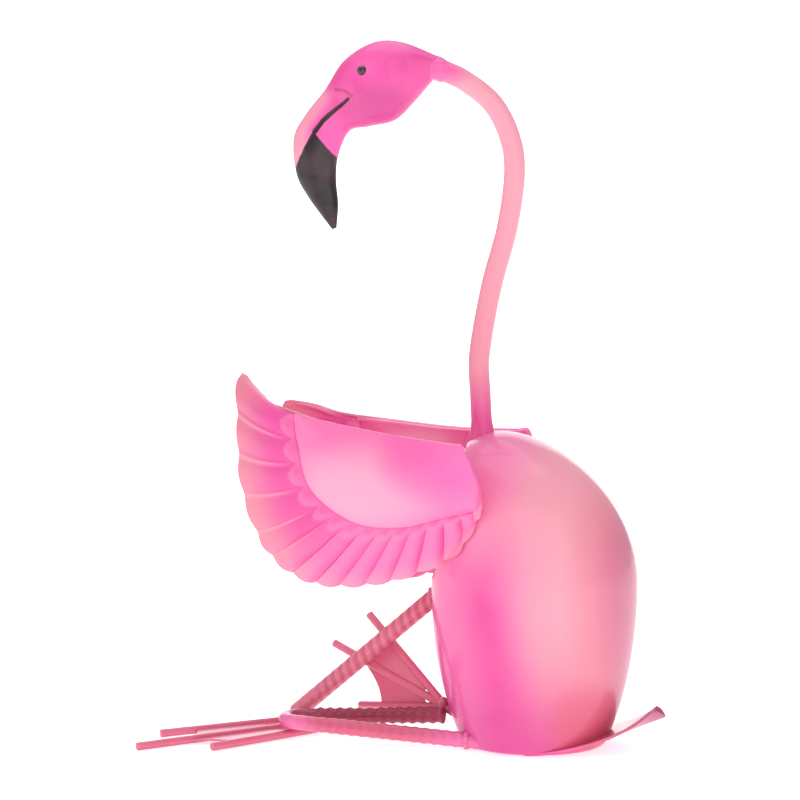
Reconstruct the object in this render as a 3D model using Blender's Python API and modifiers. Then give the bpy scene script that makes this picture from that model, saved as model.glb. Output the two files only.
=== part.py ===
"""Flamingo wine bottle holder, built as a real one is: pressed sheet, bent tube and ribbed bar.

The bird faces -X and stands on the floor at Z = 0. Lengths are in metres. The bottle lies between
the wings with its base inside the hollow body.
"""

import math

import bmesh
import bpy
from mathutils import Vector

# Fits and sheet
GAP = 0.0003
BODY_WALL = 0.0015
WING_WALL = 0.0014
TAIL_WALL = 0.0015
WEB_WALL = 0.0010

# Body: two half eggs that meet at the widest ring, the lower one cut by the floor
BODY_RADIUS = 0.0555
BODY_HEIGHT = 0.1685
BODY_WAIST_Z = 0.087
BODY_LOWER_RISE = 0.1200
BODY_LEAN = 0.0180
BODY_FRONT_X = 0.0202
BODY_X = BODY_FRONT_X + BODY_RADIUS
BODY_STEPS = 40
BODY_RINGS = 16

# The bottle and the round opening that takes it, square to an axis that rises towards the front
BOTTLE_DIAMETER = 0.075
BOTTLE_CLEARANCE = 0.0025
BOTTLE_RISE = math.radians(14.3)
OPENING_X = 0.0297
OPENING_DROP = 0.0440
OPENING_Z = BODY_HEIGHT - OPENING_DROP
OPENING_SIDES = 40

# Neck: the tube's centre line from the head down to the body, as (x, z)
NECK_DIAMETER = 0.0114
NECK_SUNK = 0.0085
NECK_LINE = (
    (0.0225, 0.3630),
    (0.0365, 0.3564),
    (0.0520, 0.3440),
    (0.0615, 0.3258),
    (0.0640, 0.3066),
    (0.0600, 0.2778),
    (0.0512, 0.2455),
    (0.0448, 0.2094),
    (0.0454, 0.1872),
    (0.0470, BODY_HEIGHT - NECK_SUNK),
)
NECK_STATIONS = 30

# Head and bill: two outlines in the plane of symmetry, as (x, z), and the half width along them
HEAD_CROWN = (
    (0.0215, 0.3700),
    (0.0017, 0.3779),
    (-0.0147, 0.3782),
    (-0.0313, 0.3688),
    (-0.0428, 0.3527),
    (-0.0537, 0.3398),
    (-0.0607, 0.3268),
    (-0.0591, 0.3071),
    (-0.0521, 0.2940),
    (-0.0388, 0.2768),
)
HEAD_THROAT = (
    (0.0185, 0.3572),
    (0.0079, 0.3456),
    (-0.0030, 0.3358),
    (-0.0180, 0.3325),
    (-0.0290, 0.3300),
    (-0.0354, 0.3168),
    (-0.0366, 0.3040),
    (-0.0354, 0.2907),
    (-0.0362, 0.2778),
)
HEAD_HALF_WIDTHS = (0.0062, 0.0120, 0.0142, 0.0128, 0.0092, 0.0082, 0.0082, 0.0072, 0.0050, 0.0012)
HEAD_STATIONS = 22
HEAD_SIDES = 14
EYE_DIAMETER = 0.0056
EYE_X = -0.0177
EYE_Z = 0.3622
EYE_SUNK = 0.0008

# Wing: curves drawn on the wing's own side view, as (x, z), each from the front to the rear
WING_TOP = (
    (-0.0399, 0.1795),
    (-0.0213, 0.1758),
    (0.0043, 0.1713),
    (0.0255, 0.1684),
    (0.0479, 0.1664),
    (0.0546, 0.1650),
    (0.0593, 0.1480),
    (0.0588, 0.1339),
)
WING_COVERT = (
    (-0.0407, 0.1787),
    (-0.0383, 0.1635),
    (-0.0310, 0.1398),
    (-0.0073, 0.1230),
    (0.0177, 0.1211),
    (0.0386, 0.1262),
    (0.0574, 0.1308),
)
WING_EDGE = (
    (-0.0785, 0.2010),
    (-0.0812, 0.1935),
    (-0.0799, 0.1715),
    (-0.0784, 0.1359),
    (-0.0665, 0.1043),
    (-0.0436, 0.0887),
    (-0.0131, 0.0870),
    (0.0188, 0.0935),
    (0.0460, 0.1070),
    (0.0586, 0.1260),
)
WING_HALF_SPREAD = 0.060
WING_FRONT_X = -0.011
WING_FRONT_BEND = 0.095
WING_REAR_X = 0.010
WING_REAR_BEND = 0.090
WING_MID_Z = 0.128
WING_TIP_RISE = 0.20
WING_LEAN = 0.22
WING_REAR_FLARE = 0.60
WING_REAR_REACH = 0.048
WING_CROSS_BEND = 0.130
WING_BODY_BLEND = 0.002
WING_LIP = 0.0060
WING_LIP_DROP = 0.0014
COVERT_BULGE = 0.0035
LEADING_FEATHERS = 4
TRAILING_FEATHERS = 10
LEADING_FEATHER_SHARE = 1.45
FEATHER_STATIONS = 3
FEATHER_CREST = 0.0012
FEATHER_SCALLOP = 0.0018
FEATHER_SAG = 0.0028
COVERT_ROWS = 4
FEATHER_ROWS = 4
RIGHT_WING_PITCH = math.radians(4.3)
RIGHT_WING_PIVOT_X = 0.080
RIGHT_WING_PIVOT_Z = 0.165
RIGHT_WING_DROOP_X = -0.058
RIGHT_WING_DROOP_REACH = 0.020
RIGHT_WING_DROOP = 0.0090

# Ribbed bars of the legs, without their ribs
BAR_DIAMETER = 0.0088
HAIRPIN_Y = -0.0310
HAIRPIN_BEND = 0.0099
HAIRPIN_FRONT_X = -0.0486
HAIRPIN_FRONT_Z = 0.0095
HAIRPIN_HIP = (0.0560, -0.0290, 0.0044)
HAIRPIN_ANKLE = (0.0295, -0.0160, 0.0152)
THIGH_TOP = (0.0270, -0.0035, 0.0828)
THIGH_FOOT = (-0.0600, -0.0018, 0.0090)

# Toes: rods from a root to a tip, with a web between them over the share nearest the root
TOE_DIAMETER = 0.0044
WEB_START = 0.25
WEB_REACH = 0.74
WEB_HOLLOW = 0.08
FRONT_TOES = (
    ((-0.0440, -0.0080, 0.0022), (-0.0821, -0.0736, 0.0022)),
    ((-0.0590, -0.0030, 0.0022), (-0.1207, -0.0843, 0.0022)),
    ((-0.0640, 0.0030, 0.0040), (-0.1223, -0.0474, 0.0022)),
)
BACK_TOES = (
    ((0.0285, -0.0088, 0.0185), (-0.0216, 0.0120, 0.0639)),
    ((0.0285, -0.0088, 0.0185), (-0.0420, 0.0120, 0.0468)),
    ((0.0285, -0.0088, 0.0185), (-0.0269, 0.0120, 0.0127)),
)
HIND_TOE = ((0.0300, -0.0100, 0.0175), (0.0450, -0.0170, 0.0110))

# Tail: a leaf of sheet that starts beside the body's foot and rises behind it
TAIL_SET_BACK = 0.0043
TAIL_OVERHANG = 0.0163
TAIL_START_X = BODY_X + TAIL_SET_BACK
TAIL_TIP_X = BODY_X + BODY_RADIUS + TAIL_OVERHANG
TAIL_HALF_WIDTH = 0.0380
TAIL_TAPER = 1.7
TAIL_FULLNESS = 0.75
TAIL_RISE = 0.0175
TAIL_RISE_POWER = 1.7
TAIL_CURL = 0.0100
TAIL_CURL_POWER = 6
TAIL_ROWS = 12
TAIL_COLUMNS = 8

# Colours of the paint, roughness and metallic value
PINK = (0.930, 0.230, 0.420)
MAGENTA = (0.850, 0.090, 0.400)
LEG_PINK = (0.780, 0.180, 0.330)
BLACK = (0.012, 0.010, 0.012)
GLOSS = 0.22
EYE_GLOSS = 0.08


def clear_scene():
    for obj in list(bpy.data.objects):
        bpy.data.objects.remove(obj, do_unlink=True)


def new_collection(name, hidden=False):
    collection = bpy.data.collections.new(name)
    collection.hide_render = hidden
    bpy.context.scene.collection.children.link(collection)
    return collection


def paint(name, colour, roughness=GLOSS, metallic=0.0):
    material = bpy.data.materials.new(name)
    material.use_nodes = True
    shader = material.node_tree.nodes["Principled BSDF"]
    shader.inputs["Base Color"].default_value = (*colour, 1.0)
    shader.inputs["Roughness"].default_value = roughness
    shader.inputs["Metallic"].default_value = metallic
    return material


def add_object(name, mesh, collection, material=None):
    obj = bpy.data.objects.new(name, mesh)
    collection.objects.link(obj)
    if material:
        mesh.materials.clear()
        mesh.materials.append(material)
    if collection is CUTTERS:
        obj.hide_render = True
        obj.display_type = "WIRE"
    mesh.shade_smooth()
    mesh.set_sharp_from_angle(angle=math.radians(35))
    return obj


def mesh_of(name, bm):
    bmesh.ops.recalc_face_normals(bm, faces=bm.faces)
    mesh = bpy.data.meshes.new(name)
    bm.to_mesh(mesh)
    bm.free()
    return mesh


def baked(obj, weld=1e-5):
    """The object's evaluated mesh, with its loose caps welded. The object itself is removed."""
    graph = bpy.context.evaluated_depsgraph_get()
    mesh = bpy.data.meshes.new_from_object(obj.evaluated_get(graph))
    bm = bmesh.new()
    bm.from_mesh(mesh)
    bmesh.ops.remove_doubles(bm, verts=bm.verts, dist=weld)
    bpy.data.objects.remove(obj, do_unlink=True)
    return mesh_of(mesh.name, bm)


def cut(target, cutter):
    modifier = target.modifiers.new("cut_" + cutter.name, "BOOLEAN")
    modifier.operation = "DIFFERENCE"
    modifier.object = cutter
    modifier.solver = "EXACT"


def smooth_line(points, count):
    """Evenly spaced points on a Catmull-Rom curve through the given points."""
    ends = [2 * points[0] - points[1], *points, 2 * points[-1] - points[-2]]
    dense = []
    for i in range(len(points) - 1):
        a, b, c, d = ends[i : i + 4]
        for k in range(12):
            t = k / 12
            dense.append(
                0.5 * (2 * b + (c - a) * t + (2 * a - 5 * b + 4 * c - d) * t * t)
                + 0.5 * (3 * b - a - 3 * c + d) * t**3
            )
    dense.append(points[-1])
    return [along(dense, k / (count - 1)) for k in range(count)]


def along(points, share):
    """The point at this share of a polyline's length."""
    lengths = [(b - a).length for a, b in zip(points, points[1:])]
    left = share * sum(lengths)
    for a, b, length in zip(points, points[1:], lengths):
        if left <= length:
            return a.lerp(b, left / length)
        left -= length
    return points[-1].copy()


def rod_mesh(name, points, diameter, sides_step=2):
    """A round rod along a polyline, with flat ends."""
    curve = bpy.data.curves.new(name, "CURVE")
    curve.dimensions = "3D"
    curve.bevel_depth = diameter / 2
    curve.bevel_resolution = sides_step
    curve.use_fill_caps = True
    spline = curve.splines.new("POLY")
    spline.points.add(len(points) - 1)
    for point, place in zip(spline.points, points):
        point.co = (*place, 1.0)
    obj = bpy.data.objects.new(name, curve)
    bpy.context.scene.collection.objects.link(obj)
    bpy.context.view_layer.update()
    return baked(obj)


def rod(name, points, diameter, material, sides_step=2):
    mesh = rod_mesh(name, points, diameter, sides_step)
    return add_object(name, mesh, PARTS, material)


def rod_cutter(name, points, diameter, sides_step=2):
    return add_object(name, rod_mesh(name, points, diameter + 2 * GAP, sides_step), CUTTERS)


# Body
def egg_radius(z, grow=0.0):
    upper = z > BODY_WAIST_Z
    rise = (BODY_HEIGHT - BODY_WAIST_Z if upper else BODY_LOWER_RISE) + grow
    share = (z - BODY_WAIST_Z) / rise
    return (BODY_RADIUS + grow) * math.sqrt(max(0.0, 1 - share * share))


def egg_centre_x(z):
    share = max(0.0, (z - BODY_WAIST_Z) / (BODY_HEIGHT - BODY_WAIST_Z))
    return BODY_X - BODY_LEAN * share * share


def egg_profile(grow, floor):
    """The egg's outer side from its top to its floor, as (radius, z)."""
    lowest = -math.asin(min(1.0, (BODY_WAIST_Z - floor) / (BODY_LOWER_RISE + grow)))
    points = [(0.0, BODY_HEIGHT + grow)]
    for k in range(1, BODY_RINGS + 1):
        angle = math.pi / 2 + (lowest - math.pi / 2) * k / BODY_RINGS
        rise = (BODY_HEIGHT - BODY_WAIST_Z if angle > 0 else BODY_LOWER_RISE) + grow
        z = BODY_WAIST_Z + rise * math.sin(angle)
        points.append(((BODY_RADIUS + grow) * math.cos(angle), z))
    points.append((0.0, points[-1][1]))
    return points


def egg(name, grow, floor, collection, material=None):
    bm = bmesh.new()
    verts = [bm.verts.new((r, 0, z)) for r, z in egg_profile(grow, floor)]
    for a, b in zip(verts, verts[1:]):
        bm.edges.new((a, b))
    mesh = bpy.data.meshes.new(name)
    bm.to_mesh(mesh)
    bm.free()
    obj = bpy.data.objects.new(name, mesh)
    bpy.context.scene.collection.objects.link(obj)
    screw = obj.modifiers.new("turn", "SCREW")
    screw.steps = BODY_STEPS
    screw.render_steps = BODY_STEPS
    screw.use_merge_vertices = True
    screw.merge_threshold = 0.00005
    bpy.context.view_layer.update()
    turned = baked(obj)
    for vert in turned.vertices:
        vert.co.x += egg_centre_x(vert.co.z)
    return add_object(name, turned, collection, material)


def bottle_axis():
    return Vector((-math.cos(BOTTLE_RISE), 0, math.sin(BOTTLE_RISE)))


def build_body():
    body = egg("body_shell", 0.0, 0.0, PARTS, PINK_PAINT)
    cut(body, egg("body_hollow", -BODY_WALL, BODY_WALL, CUTTERS))
    bm = bmesh.new()
    radius = BOTTLE_DIAMETER / 2 + BOTTLE_CLEARANCE
    bmesh.ops.create_cone(
        bm,
        cap_ends=True,
        segments=OPENING_SIDES,
        radius1=radius,
        radius2=radius,
        depth=BODY_RADIUS,
    )
    turn = Vector((0, 0, 1)).rotation_difference(bottle_axis()).to_matrix()
    bmesh.ops.rotate(bm, cent=(0, 0, 0), matrix=turn, verts=bm.verts)
    middle = Vector((OPENING_X, 0, OPENING_Z)) + bottle_axis() * BODY_RADIUS / 5
    bmesh.ops.translate(bm, vec=middle, verts=bm.verts)
    cut(body, add_object("bottle_way", mesh_of("bottle_way", bm), CUTTERS))
    return body


# Neck and head
def neck_points():
    line = [Vector((x, 0, z)) for x, z in NECK_LINE]
    return smooth_line(line, NECK_STATIONS)


def build_neck(body_room):
    neck = rod("neck_tube", neck_points(), NECK_DIAMETER, PINK_PAINT, sides_step=3)
    cut(neck, body_room)


def half_width(share):
    place = share * (len(HEAD_HALF_WIDTHS) - 1)
    low = min(int(place), len(HEAD_HALF_WIDTHS) - 2)
    part = place - low
    ease = part * part * (3 - 2 * part)
    return HEAD_HALF_WIDTHS[low] * (1 - ease) + HEAD_HALF_WIDTHS[low + 1] * ease


def head_mesh():
    """A loft of elliptical rings between the crown's and the throat's outline."""
    crown = smooth_line([Vector((x, 0, z)) for x, z in HEAD_CROWN], HEAD_STATIONS)
    throat = smooth_line([Vector((x, 0, z)) for x, z in HEAD_THROAT], HEAD_STATIONS)
    bm = bmesh.new()
    rings = []
    for k, (upper, lower) in enumerate(zip(crown, throat)):
        centre = (upper + lower) / 2
        rise = (upper - lower) / 2
        width = half_width(k / (HEAD_STATIONS - 1))
        ring = []
        for j in range(HEAD_SIDES):
            angle = 2 * math.pi * j / HEAD_SIDES
            side = Vector((0, width * math.sin(angle), 0))
            ring.append(bm.verts.new(centre + rise * math.cos(angle) + side))
        rings.append(ring)
    for first, second in zip(rings, rings[1:]):
        for j in range(HEAD_SIDES):
            n = (j + 1) % HEAD_SIDES
            bm.faces.new((first[j], first[n], second[n], second[j]))
    bm.faces.new(rings[0])
    bm.faces.new(rings[-1])
    return mesh_of("head", bm)


def ball(name, place, diameter, collection, material=None):
    bm = bmesh.new()
    bmesh.ops.create_uvsphere(bm, u_segments=12, v_segments=8, radius=diameter / 2)
    bmesh.ops.translate(bm, vec=place, verts=bm.verts)
    return add_object(name, mesh_of(name, bm), collection, material)


def build_head():
    head = add_object("head", head_mesh(), PARTS, MAGENTA_PAINT)
    bpy.context.view_layer.update()
    reach = max(HEAD_HALF_WIDTHS) * 2
    sides = (("left", -1), ("right", 1))
    places = []
    for _, side in sides:
        start = Vector((EYE_X, side * reach, EYE_Z))
        hit, place, _, _ = head.ray_cast(start, Vector((0, -side, 0)))
        places.append(place - Vector((0, side * EYE_SUNK, 0)) if hit else start)
    for (word, _), place in zip(sides, places):
        ball("eye_" + word, place, EYE_DIAMETER, PARTS, BLACK_PAINT)
        cut(head, ball("socket_" + word, place, EYE_DIAMETER + 2 * GAP, CUTTERS))
    line = neck_points()
    line[0] = line[0] + (line[0] - line[1]).normalized() * GAP
    cut(head, rod_cutter("neck_room", line, NECK_DIAMETER, sides_step=3))


# Wings
def wing_spread(x, z):
    """Half the distance between the two wings at this place of the wing's own side view."""
    ahead = max(0.0, WING_FRONT_X - x)
    behind = max(0.0, x - WING_REAR_X)
    above = z - WING_MID_Z - WING_TIP_RISE * ahead
    lean = WING_LEAN + WING_REAR_FLARE * (behind / WING_REAR_REACH) ** 2
    spread = WING_HALF_SPREAD - ahead**2 / (2 * WING_FRONT_BEND) - behind**2 / (2 * WING_REAR_BEND)
    return spread + lean * above - above**2 / (2 * WING_CROSS_BEND)


def body_half_width(x, z):
    radius = egg_radius(z, GAP + WING_WALL)
    return math.sqrt(max(0.0, radius**2 - (x - egg_centre_x(z)) ** 2))


def clear_of_body(spread, x, z):
    """The larger of the wing's spread and the body's half width, with a soft change between them."""
    body = body_half_width(x, z)
    return (spread + body + math.hypot(spread - body, WING_BODY_BLEND)) / 2


def feather_bounds():
    """The shares of the wing's outer edge at which one feather ends and the next begins."""
    widths = [LEADING_FEATHER_SHARE] * LEADING_FEATHERS + [1.0] * TRAILING_FEATHERS
    bounds = [0.0]
    for width in widths:
        bounds.append(bounds[-1] + width / sum(widths))
    return bounds


def wing_columns():
    """(share of the outer edge, place across its feather from 0 to 1), from the tip to the rear."""
    bounds = feather_bounds()
    columns = []
    for low, high in zip(bounds, bounds[1:]):
        for k in range(FEATHER_STATIONS):
            part = k / FEATHER_STATIONS
            columns.append((low + (high - low) * part, part))
    return [*columns, (1.0, 0.0)]


def wing_drawing():
    """Rows of (x, z, outward push) for the wing's own side view, from its top to its outer edge."""
    dense = 120
    top, covert, edge = (
        smooth_line([Vector((x, 0, z)) for x, z in line], dense)
        for line in (WING_TOP, WING_COVERT, WING_EDGE)
    )
    centre = along(covert, 0.5)
    columns = []
    for share, part in wing_columns():
        head, root, tip = along(top, share), along(covert, share), along(edge, share)
        crest = math.sin(math.pi * part)
        tip = tip + (tip - centre).normalized() * FEATHER_SCALLOP * (crest - 1)
        column = []
        for k in range(COVERT_ROWS):
            t = k / COVERT_ROWS
            push = COVERT_BULGE * (1 - (2 * t - 1) ** 4) * min(1.0, share * 6)
            column.append((head.lerp(root, t), push))
        across = (tip - root).normalized().cross(Vector((0, 1, 0)))
        for k in range(FEATHER_ROWS + 1):
            t = k / FEATHER_ROWS
            bow = across * FEATHER_SAG * 4 * t * (1 - t) * (1 - share)
            push = FEATHER_CREST * crest * (0.35 + 0.65 * t)
            column.append((root.lerp(tip, t) + bow, push))
        columns.append(column)
    return columns


def wing_point(drawn, push, side, set_as):
    """A point of the wing's own side view, set beside the body: (x, spread, z)."""
    pitch, droop = set_as
    pivot = Vector((RIGHT_WING_PIVOT_X, 0, RIGHT_WING_PIVOT_Z))
    spread = wing_spread(drawn.x, drawn.z) + push
    arm = drawn - pivot
    x = pivot.x + arm.x * math.cos(pitch) - arm.z * math.sin(pitch)
    z = pivot.z + arm.x * math.sin(pitch) + arm.z * math.cos(pitch)
    ahead = max(0.0, RIGHT_WING_DROOP_X - drawn.x)
    z -= droop * (ahead / RIGHT_WING_DROOP_REACH) ** 2
    return Vector((x, side * clear_of_body(spread, x, z), z))


def wing_mesh(name, side, set_as):
    """The sheet's middle surface: the covert and the feathers, with a lip turned inwards above."""
    bm = bmesh.new()
    grid = []
    for column in wing_drawing():
        places = [wing_point(drawn, push, side, set_as) for drawn, push in column]
        lip = Vector((0, -side * WING_LIP, -WING_LIP_DROP))
        if not grid:
            shares = [0.0] * COVERT_ROWS + [k / FEATHER_ROWS for k in range(FEATHER_ROWS + 1)]
            inner = [place + lip * (1 - share**2) for place, share in zip(places, shares)]
            grid.append([bm.verts.new(place) for place in [places[0] + lip, *inner]])
        grid.append([bm.verts.new(place) for place in [places[0] + lip, *places]])
    for first, second in zip(grid, grid[1:]):
        for k in range(len(first) - 1):
            quad = (first[k], first[k + 1], second[k + 1], second[k])
            bm.faces.new(quad if side > 0 else quad[::-1])
    bmesh.ops.remove_doubles(bm, verts=bm.verts, dist=GAP)
    bmesh.ops.dissolve_degenerate(bm, dist=GAP / 10, edges=bm.edges)
    mesh = bpy.data.meshes.new(name)
    bm.to_mesh(mesh)
    bm.free()
    return mesh


def thicken(obj, wall, offset=0.0):
    solidify = obj.modifiers.new("wall", "SOLIDIFY")
    solidify.thickness = wall
    solidify.offset = offset
    solidify.use_even_offset = False


def build_wing(name, side, set_as, body_room):
    wing = add_object(name, wing_mesh(name, side, set_as), PARTS, PINK_PAINT)
    thicken(wing, WING_WALL)
    cut(wing, body_room)


# Tail
def build_tail(body_room):
    bm = bmesh.new()
    grid = []
    for k in range(TAIL_ROWS):
        share = k / TAIL_ROWS
        x = TAIL_START_X + (TAIL_TIP_X - TAIL_START_X) * share
        half = TAIL_HALF_WIDTH * (1 - share**TAIL_TAPER) ** TAIL_FULLNESS
        edge = TAIL_CURL * share**TAIL_CURL_POWER
        row = []
        for j in range(TAIL_COLUMNS + 1):
            across = 2 * j / TAIL_COLUMNS - 1
            rise = TAIL_RISE * share**TAIL_RISE_POWER + edge * across**2
            row.append(bm.verts.new((x, half * across, TAIL_WALL / 2 + rise)))
        grid.append(row)
    tip = bm.verts.new((TAIL_TIP_X, 0, TAIL_WALL / 2 + TAIL_RISE))
    for first, second in zip(grid, grid[1:]):
        for j in range(TAIL_COLUMNS):
            bm.faces.new((first[j], second[j], second[j + 1], first[j + 1]))
    for j in range(TAIL_COLUMNS):
        bm.faces.new((grid[-1][j], tip, grid[-1][j + 1]))
    tail = add_object("tail", mesh_of("tail", bm), PARTS, PINK_PAINT)
    thicken(tail, TAIL_WALL)
    cut(tail, body_room)


# Legs
def hairpin_points():
    """From the hip forward, round the bend beside the other leg, and back to the ankle."""
    centre = Vector((HAIRPIN_FRONT_X, HAIRPIN_Y + HAIRPIN_BEND, HAIRPIN_FRONT_Z))
    bend = []
    steps = 10
    for k in range(steps + 1):
        angle = math.pi * (1.5 - k / steps)
        arm = Vector((math.cos(angle), math.sin(angle), 0)) * HAIRPIN_BEND
        bend.append(centre + arm)
    return [Vector(HAIRPIN_HIP), *bend, Vector(HAIRPIN_ANKLE)]


def build_legs(body_room):
    left = rod("leg_left", hairpin_points(), BAR_DIAMETER, LEG_PAINT, sides_step=3)
    cut(left, body_room)
    thigh = [Vector(THIGH_TOP), Vector(THIGH_FOOT)]
    right = rod("leg_right", thigh, BAR_DIAMETER, LEG_PAINT, sides_step=3)
    cut(right, body_room)
    return rod_cutter("leg_left_room", hairpin_points(), BAR_DIAMETER, sides_step=3)


# Feet
def web_mesh(name, first, second):
    """A sheet between two toes, clear of both, with a hollow front edge."""
    corners = []
    shares = (WEB_START, (WEB_START + WEB_REACH) / 2, WEB_REACH)
    for (root, tip), (other_root, other_tip) in ((first, second), (second, first)):
        way = (tip - root).normalized()
        inward = (other_root + other_tip - root - tip) / 2
        inward = (inward - way * inward.dot(way)).normalized()
        clear = inward * (TOE_DIAMETER / 2 + GAP + WEB_WALL / 2)
        corners.append([root.lerp(tip, share) + clear for share in shares])
    middle = (corners[0][2] + corners[1][2]) / 2
    back = (first[0] + second[0]) / 2
    middle = middle.lerp(back, WEB_HOLLOW)
    outline = [*corners[0], middle, *reversed(corners[1])]
    bm = bmesh.new()
    bm.faces.new([bm.verts.new(place) for place in outline])
    bmesh.ops.triangulate(bm, faces=bm.faces)
    return mesh_of(name, bm)


def build_foot(word, toes, toe_words, leg_room):
    toes = [(Vector(root), Vector(tip)) for root, tip in toes]
    middle_root, middle_tip = toes[1]
    behind = middle_root + (middle_root - middle_tip).normalized() * TOE_DIAMETER * 2
    middle_room = rod_cutter(word + "_middle_room", [behind, middle_tip], TOE_DIAMETER)
    for place, (toe_word, ends) in enumerate(zip(toe_words, toes)):
        toe = rod(f"{word}_toe_{toe_word}", list(ends), TOE_DIAMETER, LEG_PAINT)
        cut(toe, leg_room)
        if place != 1:
            cut(toe, middle_room)
    for place in (0, 1):
        name = f"{word}_web_{toe_words[2 * place]}"
        web = add_object(name, web_mesh(name, toes[place], toes[place + 1]), PARTS, LEG_PAINT)
        thicken(web, WEB_WALL)
    return middle_room


def build_hind_toe(leg_room, foot_room, body_room):
    hind = rod("hind_toe", [Vector(place) for place in HIND_TOE], TOE_DIAMETER, LEG_PAINT)
    for room in (leg_room, foot_room, body_room):
        cut(hind, room)


def stand_on_origin():
    """Moves the whole bird so that its box stands centred on the origin."""
    bpy.context.view_layer.update()
    graph = bpy.context.evaluated_depsgraph_get()
    places = []
    for obj in PARTS.objects:
        evaluated = obj.evaluated_get(graph)
        places += [obj.matrix_world @ vert.co for vert in evaluated.data.vertices]
    centre = [
        (min(place[k] for place in places) + max(place[k] for place in places)) / 2
        for k in (0, 1)
    ]
    floor = min(place.z for place in places)
    stand = bpy.data.objects.new("flamingo_stand", None)
    bpy.context.scene.collection.objects.link(stand)
    for obj in [*PARTS.objects, *CUTTERS.objects]:
        obj.parent = stand
    stand.location = (-centre[0], -centre[1], -floor)


def main():
    body_room = egg("body_room", GAP, -GAP, CUTTERS)
    build_body()
    build_neck(body_room)
    build_head()
    build_wing("wing_left", -1, (0.0, 0.0), body_room)
    build_wing("wing_right", 1, (RIGHT_WING_PITCH, RIGHT_WING_DROOP), body_room)
    build_tail(body_room)
    leg_room = build_legs(body_room)
    build_foot("front", FRONT_TOES, ("near", "middle", "far"), leg_room)
    foot_room = build_foot("back", BACK_TOES, ("upper", "middle", "lower"), leg_room)
    build_hind_toe(leg_room, foot_room, body_room)
    stand_on_origin()


clear_scene()
PARTS = new_collection("flamingo_bottle_holder")
CUTTERS = new_collection("cutters", hidden=True)
PINK_PAINT = paint("pink_paint", PINK)
MAGENTA_PAINT = paint("magenta_paint", MAGENTA)
LEG_PAINT = paint("leg_paint", LEG_PINK)
BLACK_PAINT = paint("black_paint", BLACK, roughness=EYE_GLOSS)
main()
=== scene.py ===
"""Looks of the flamingo wine bottle holder: pressed, bent and welded metal under airbrushed paint.

The bird faces -X and its near side is -Y. The sizes are in metres and are drawn in the bird's own
frame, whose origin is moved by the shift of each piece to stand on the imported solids.
"""

import itertools
import logging
import math
from dataclasses import dataclass
from enum import Enum
from typing import Callable, Optional, Sequence, Union

import bmesh
import bpy
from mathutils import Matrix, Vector

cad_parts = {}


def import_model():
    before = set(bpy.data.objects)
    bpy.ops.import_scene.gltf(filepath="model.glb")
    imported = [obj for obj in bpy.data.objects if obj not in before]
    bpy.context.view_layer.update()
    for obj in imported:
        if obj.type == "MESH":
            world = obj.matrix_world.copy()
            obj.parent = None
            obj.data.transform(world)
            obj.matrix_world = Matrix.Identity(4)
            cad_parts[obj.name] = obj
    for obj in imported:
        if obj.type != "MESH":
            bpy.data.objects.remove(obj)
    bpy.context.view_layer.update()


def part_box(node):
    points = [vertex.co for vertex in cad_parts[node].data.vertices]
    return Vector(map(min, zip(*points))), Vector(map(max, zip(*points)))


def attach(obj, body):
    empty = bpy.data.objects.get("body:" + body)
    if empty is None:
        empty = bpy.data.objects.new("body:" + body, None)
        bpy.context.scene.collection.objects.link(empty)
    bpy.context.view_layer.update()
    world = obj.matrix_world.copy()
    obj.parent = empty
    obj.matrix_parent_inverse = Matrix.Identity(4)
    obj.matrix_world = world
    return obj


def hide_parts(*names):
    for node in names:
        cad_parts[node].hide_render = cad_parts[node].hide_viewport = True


LOG = logging.getLogger("flamingo")
Colour = tuple[float, float, float]
Pair = tuple[float, float]
Pairs = tuple[Pair, ...]
Triple = tuple[float, float, float]
Place = Callable[[float, float], Vector]
Radius = Callable[[float, float], float]
Value = Union[float, "Signal"]

UP = Vector((0, 0, 1))
ACROSS = Vector((0, 1, 0))
MILLIMETRES = 1000.0
CURVE_STEPS = 12
TOE_DIAMETER = 0.0044
SIDE_WORDS = {-1: "left", 1: "right"}


# Helpers for shader graphs.
class Signal:
    """A shader socket that takes part in Python sums: each operator adds a Math node."""

    def __init__(self, graph: "Graph", socket: bpy.types.NodeSocket) -> None:
        """Wraps one output socket of a graph.

        Args:
            graph: The graph that the socket belongs to.
            socket: The output socket.
        """
        self.graph = graph
        self.socket = socket

    def math(self, operation: str, *others: Value, flip: bool = False) -> "Signal":
        """A Math node on this signal.

        Args:
            operation: The Math node's operation.
            others: The other operands, numbers or signals.
            flip: True to put this signal after the others.

        Returns:
            The node's result.
        """
        values: list[Value] = [*others, self] if flip else [self, *others]
        return self.graph.add("ShaderNodeMath", {"operation": operation}, dict(enumerate(values)))

    def __add__(self, other: Value) -> "Signal":
        """The sum."""
        return self.math("ADD", other)

    def __sub__(self, other: Value) -> "Signal":
        """The difference."""
        return self.math("SUBTRACT", other)

    def __rsub__(self, other: Value) -> "Signal":
        """The difference, with the number first."""
        return self.math("SUBTRACT", other, flip=True)

    def __mul__(self, other: Value) -> "Signal":
        """The product."""
        return self.math("MULTIPLY", other)

    def __truediv__(self, other: Value) -> "Signal":
        """The quotient."""
        return self.math("DIVIDE", other)

    def __pow__(self, other: Value) -> "Signal":
        """The power."""
        return self.math("POWER", other)

    def clamp(self) -> "Signal":
        """The signal held between 0 and 1."""
        return self.math("MAXIMUM", 0.0).math("MINIMUM", 1.0)

    def ramp(self, start: float, end: float) -> "Signal":
        """A soft step.

        Args:
            start: Where the step is 0.
            end: Where the step is 1; it may be below start.

        Returns:
            The step from 0 to 1.
        """
        settings = {"interpolation_type": "SMOOTHSTEP"}
        return self.graph.add("ShaderNodeMapRange", settings, {0: self, 1: start, 2: end})


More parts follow.
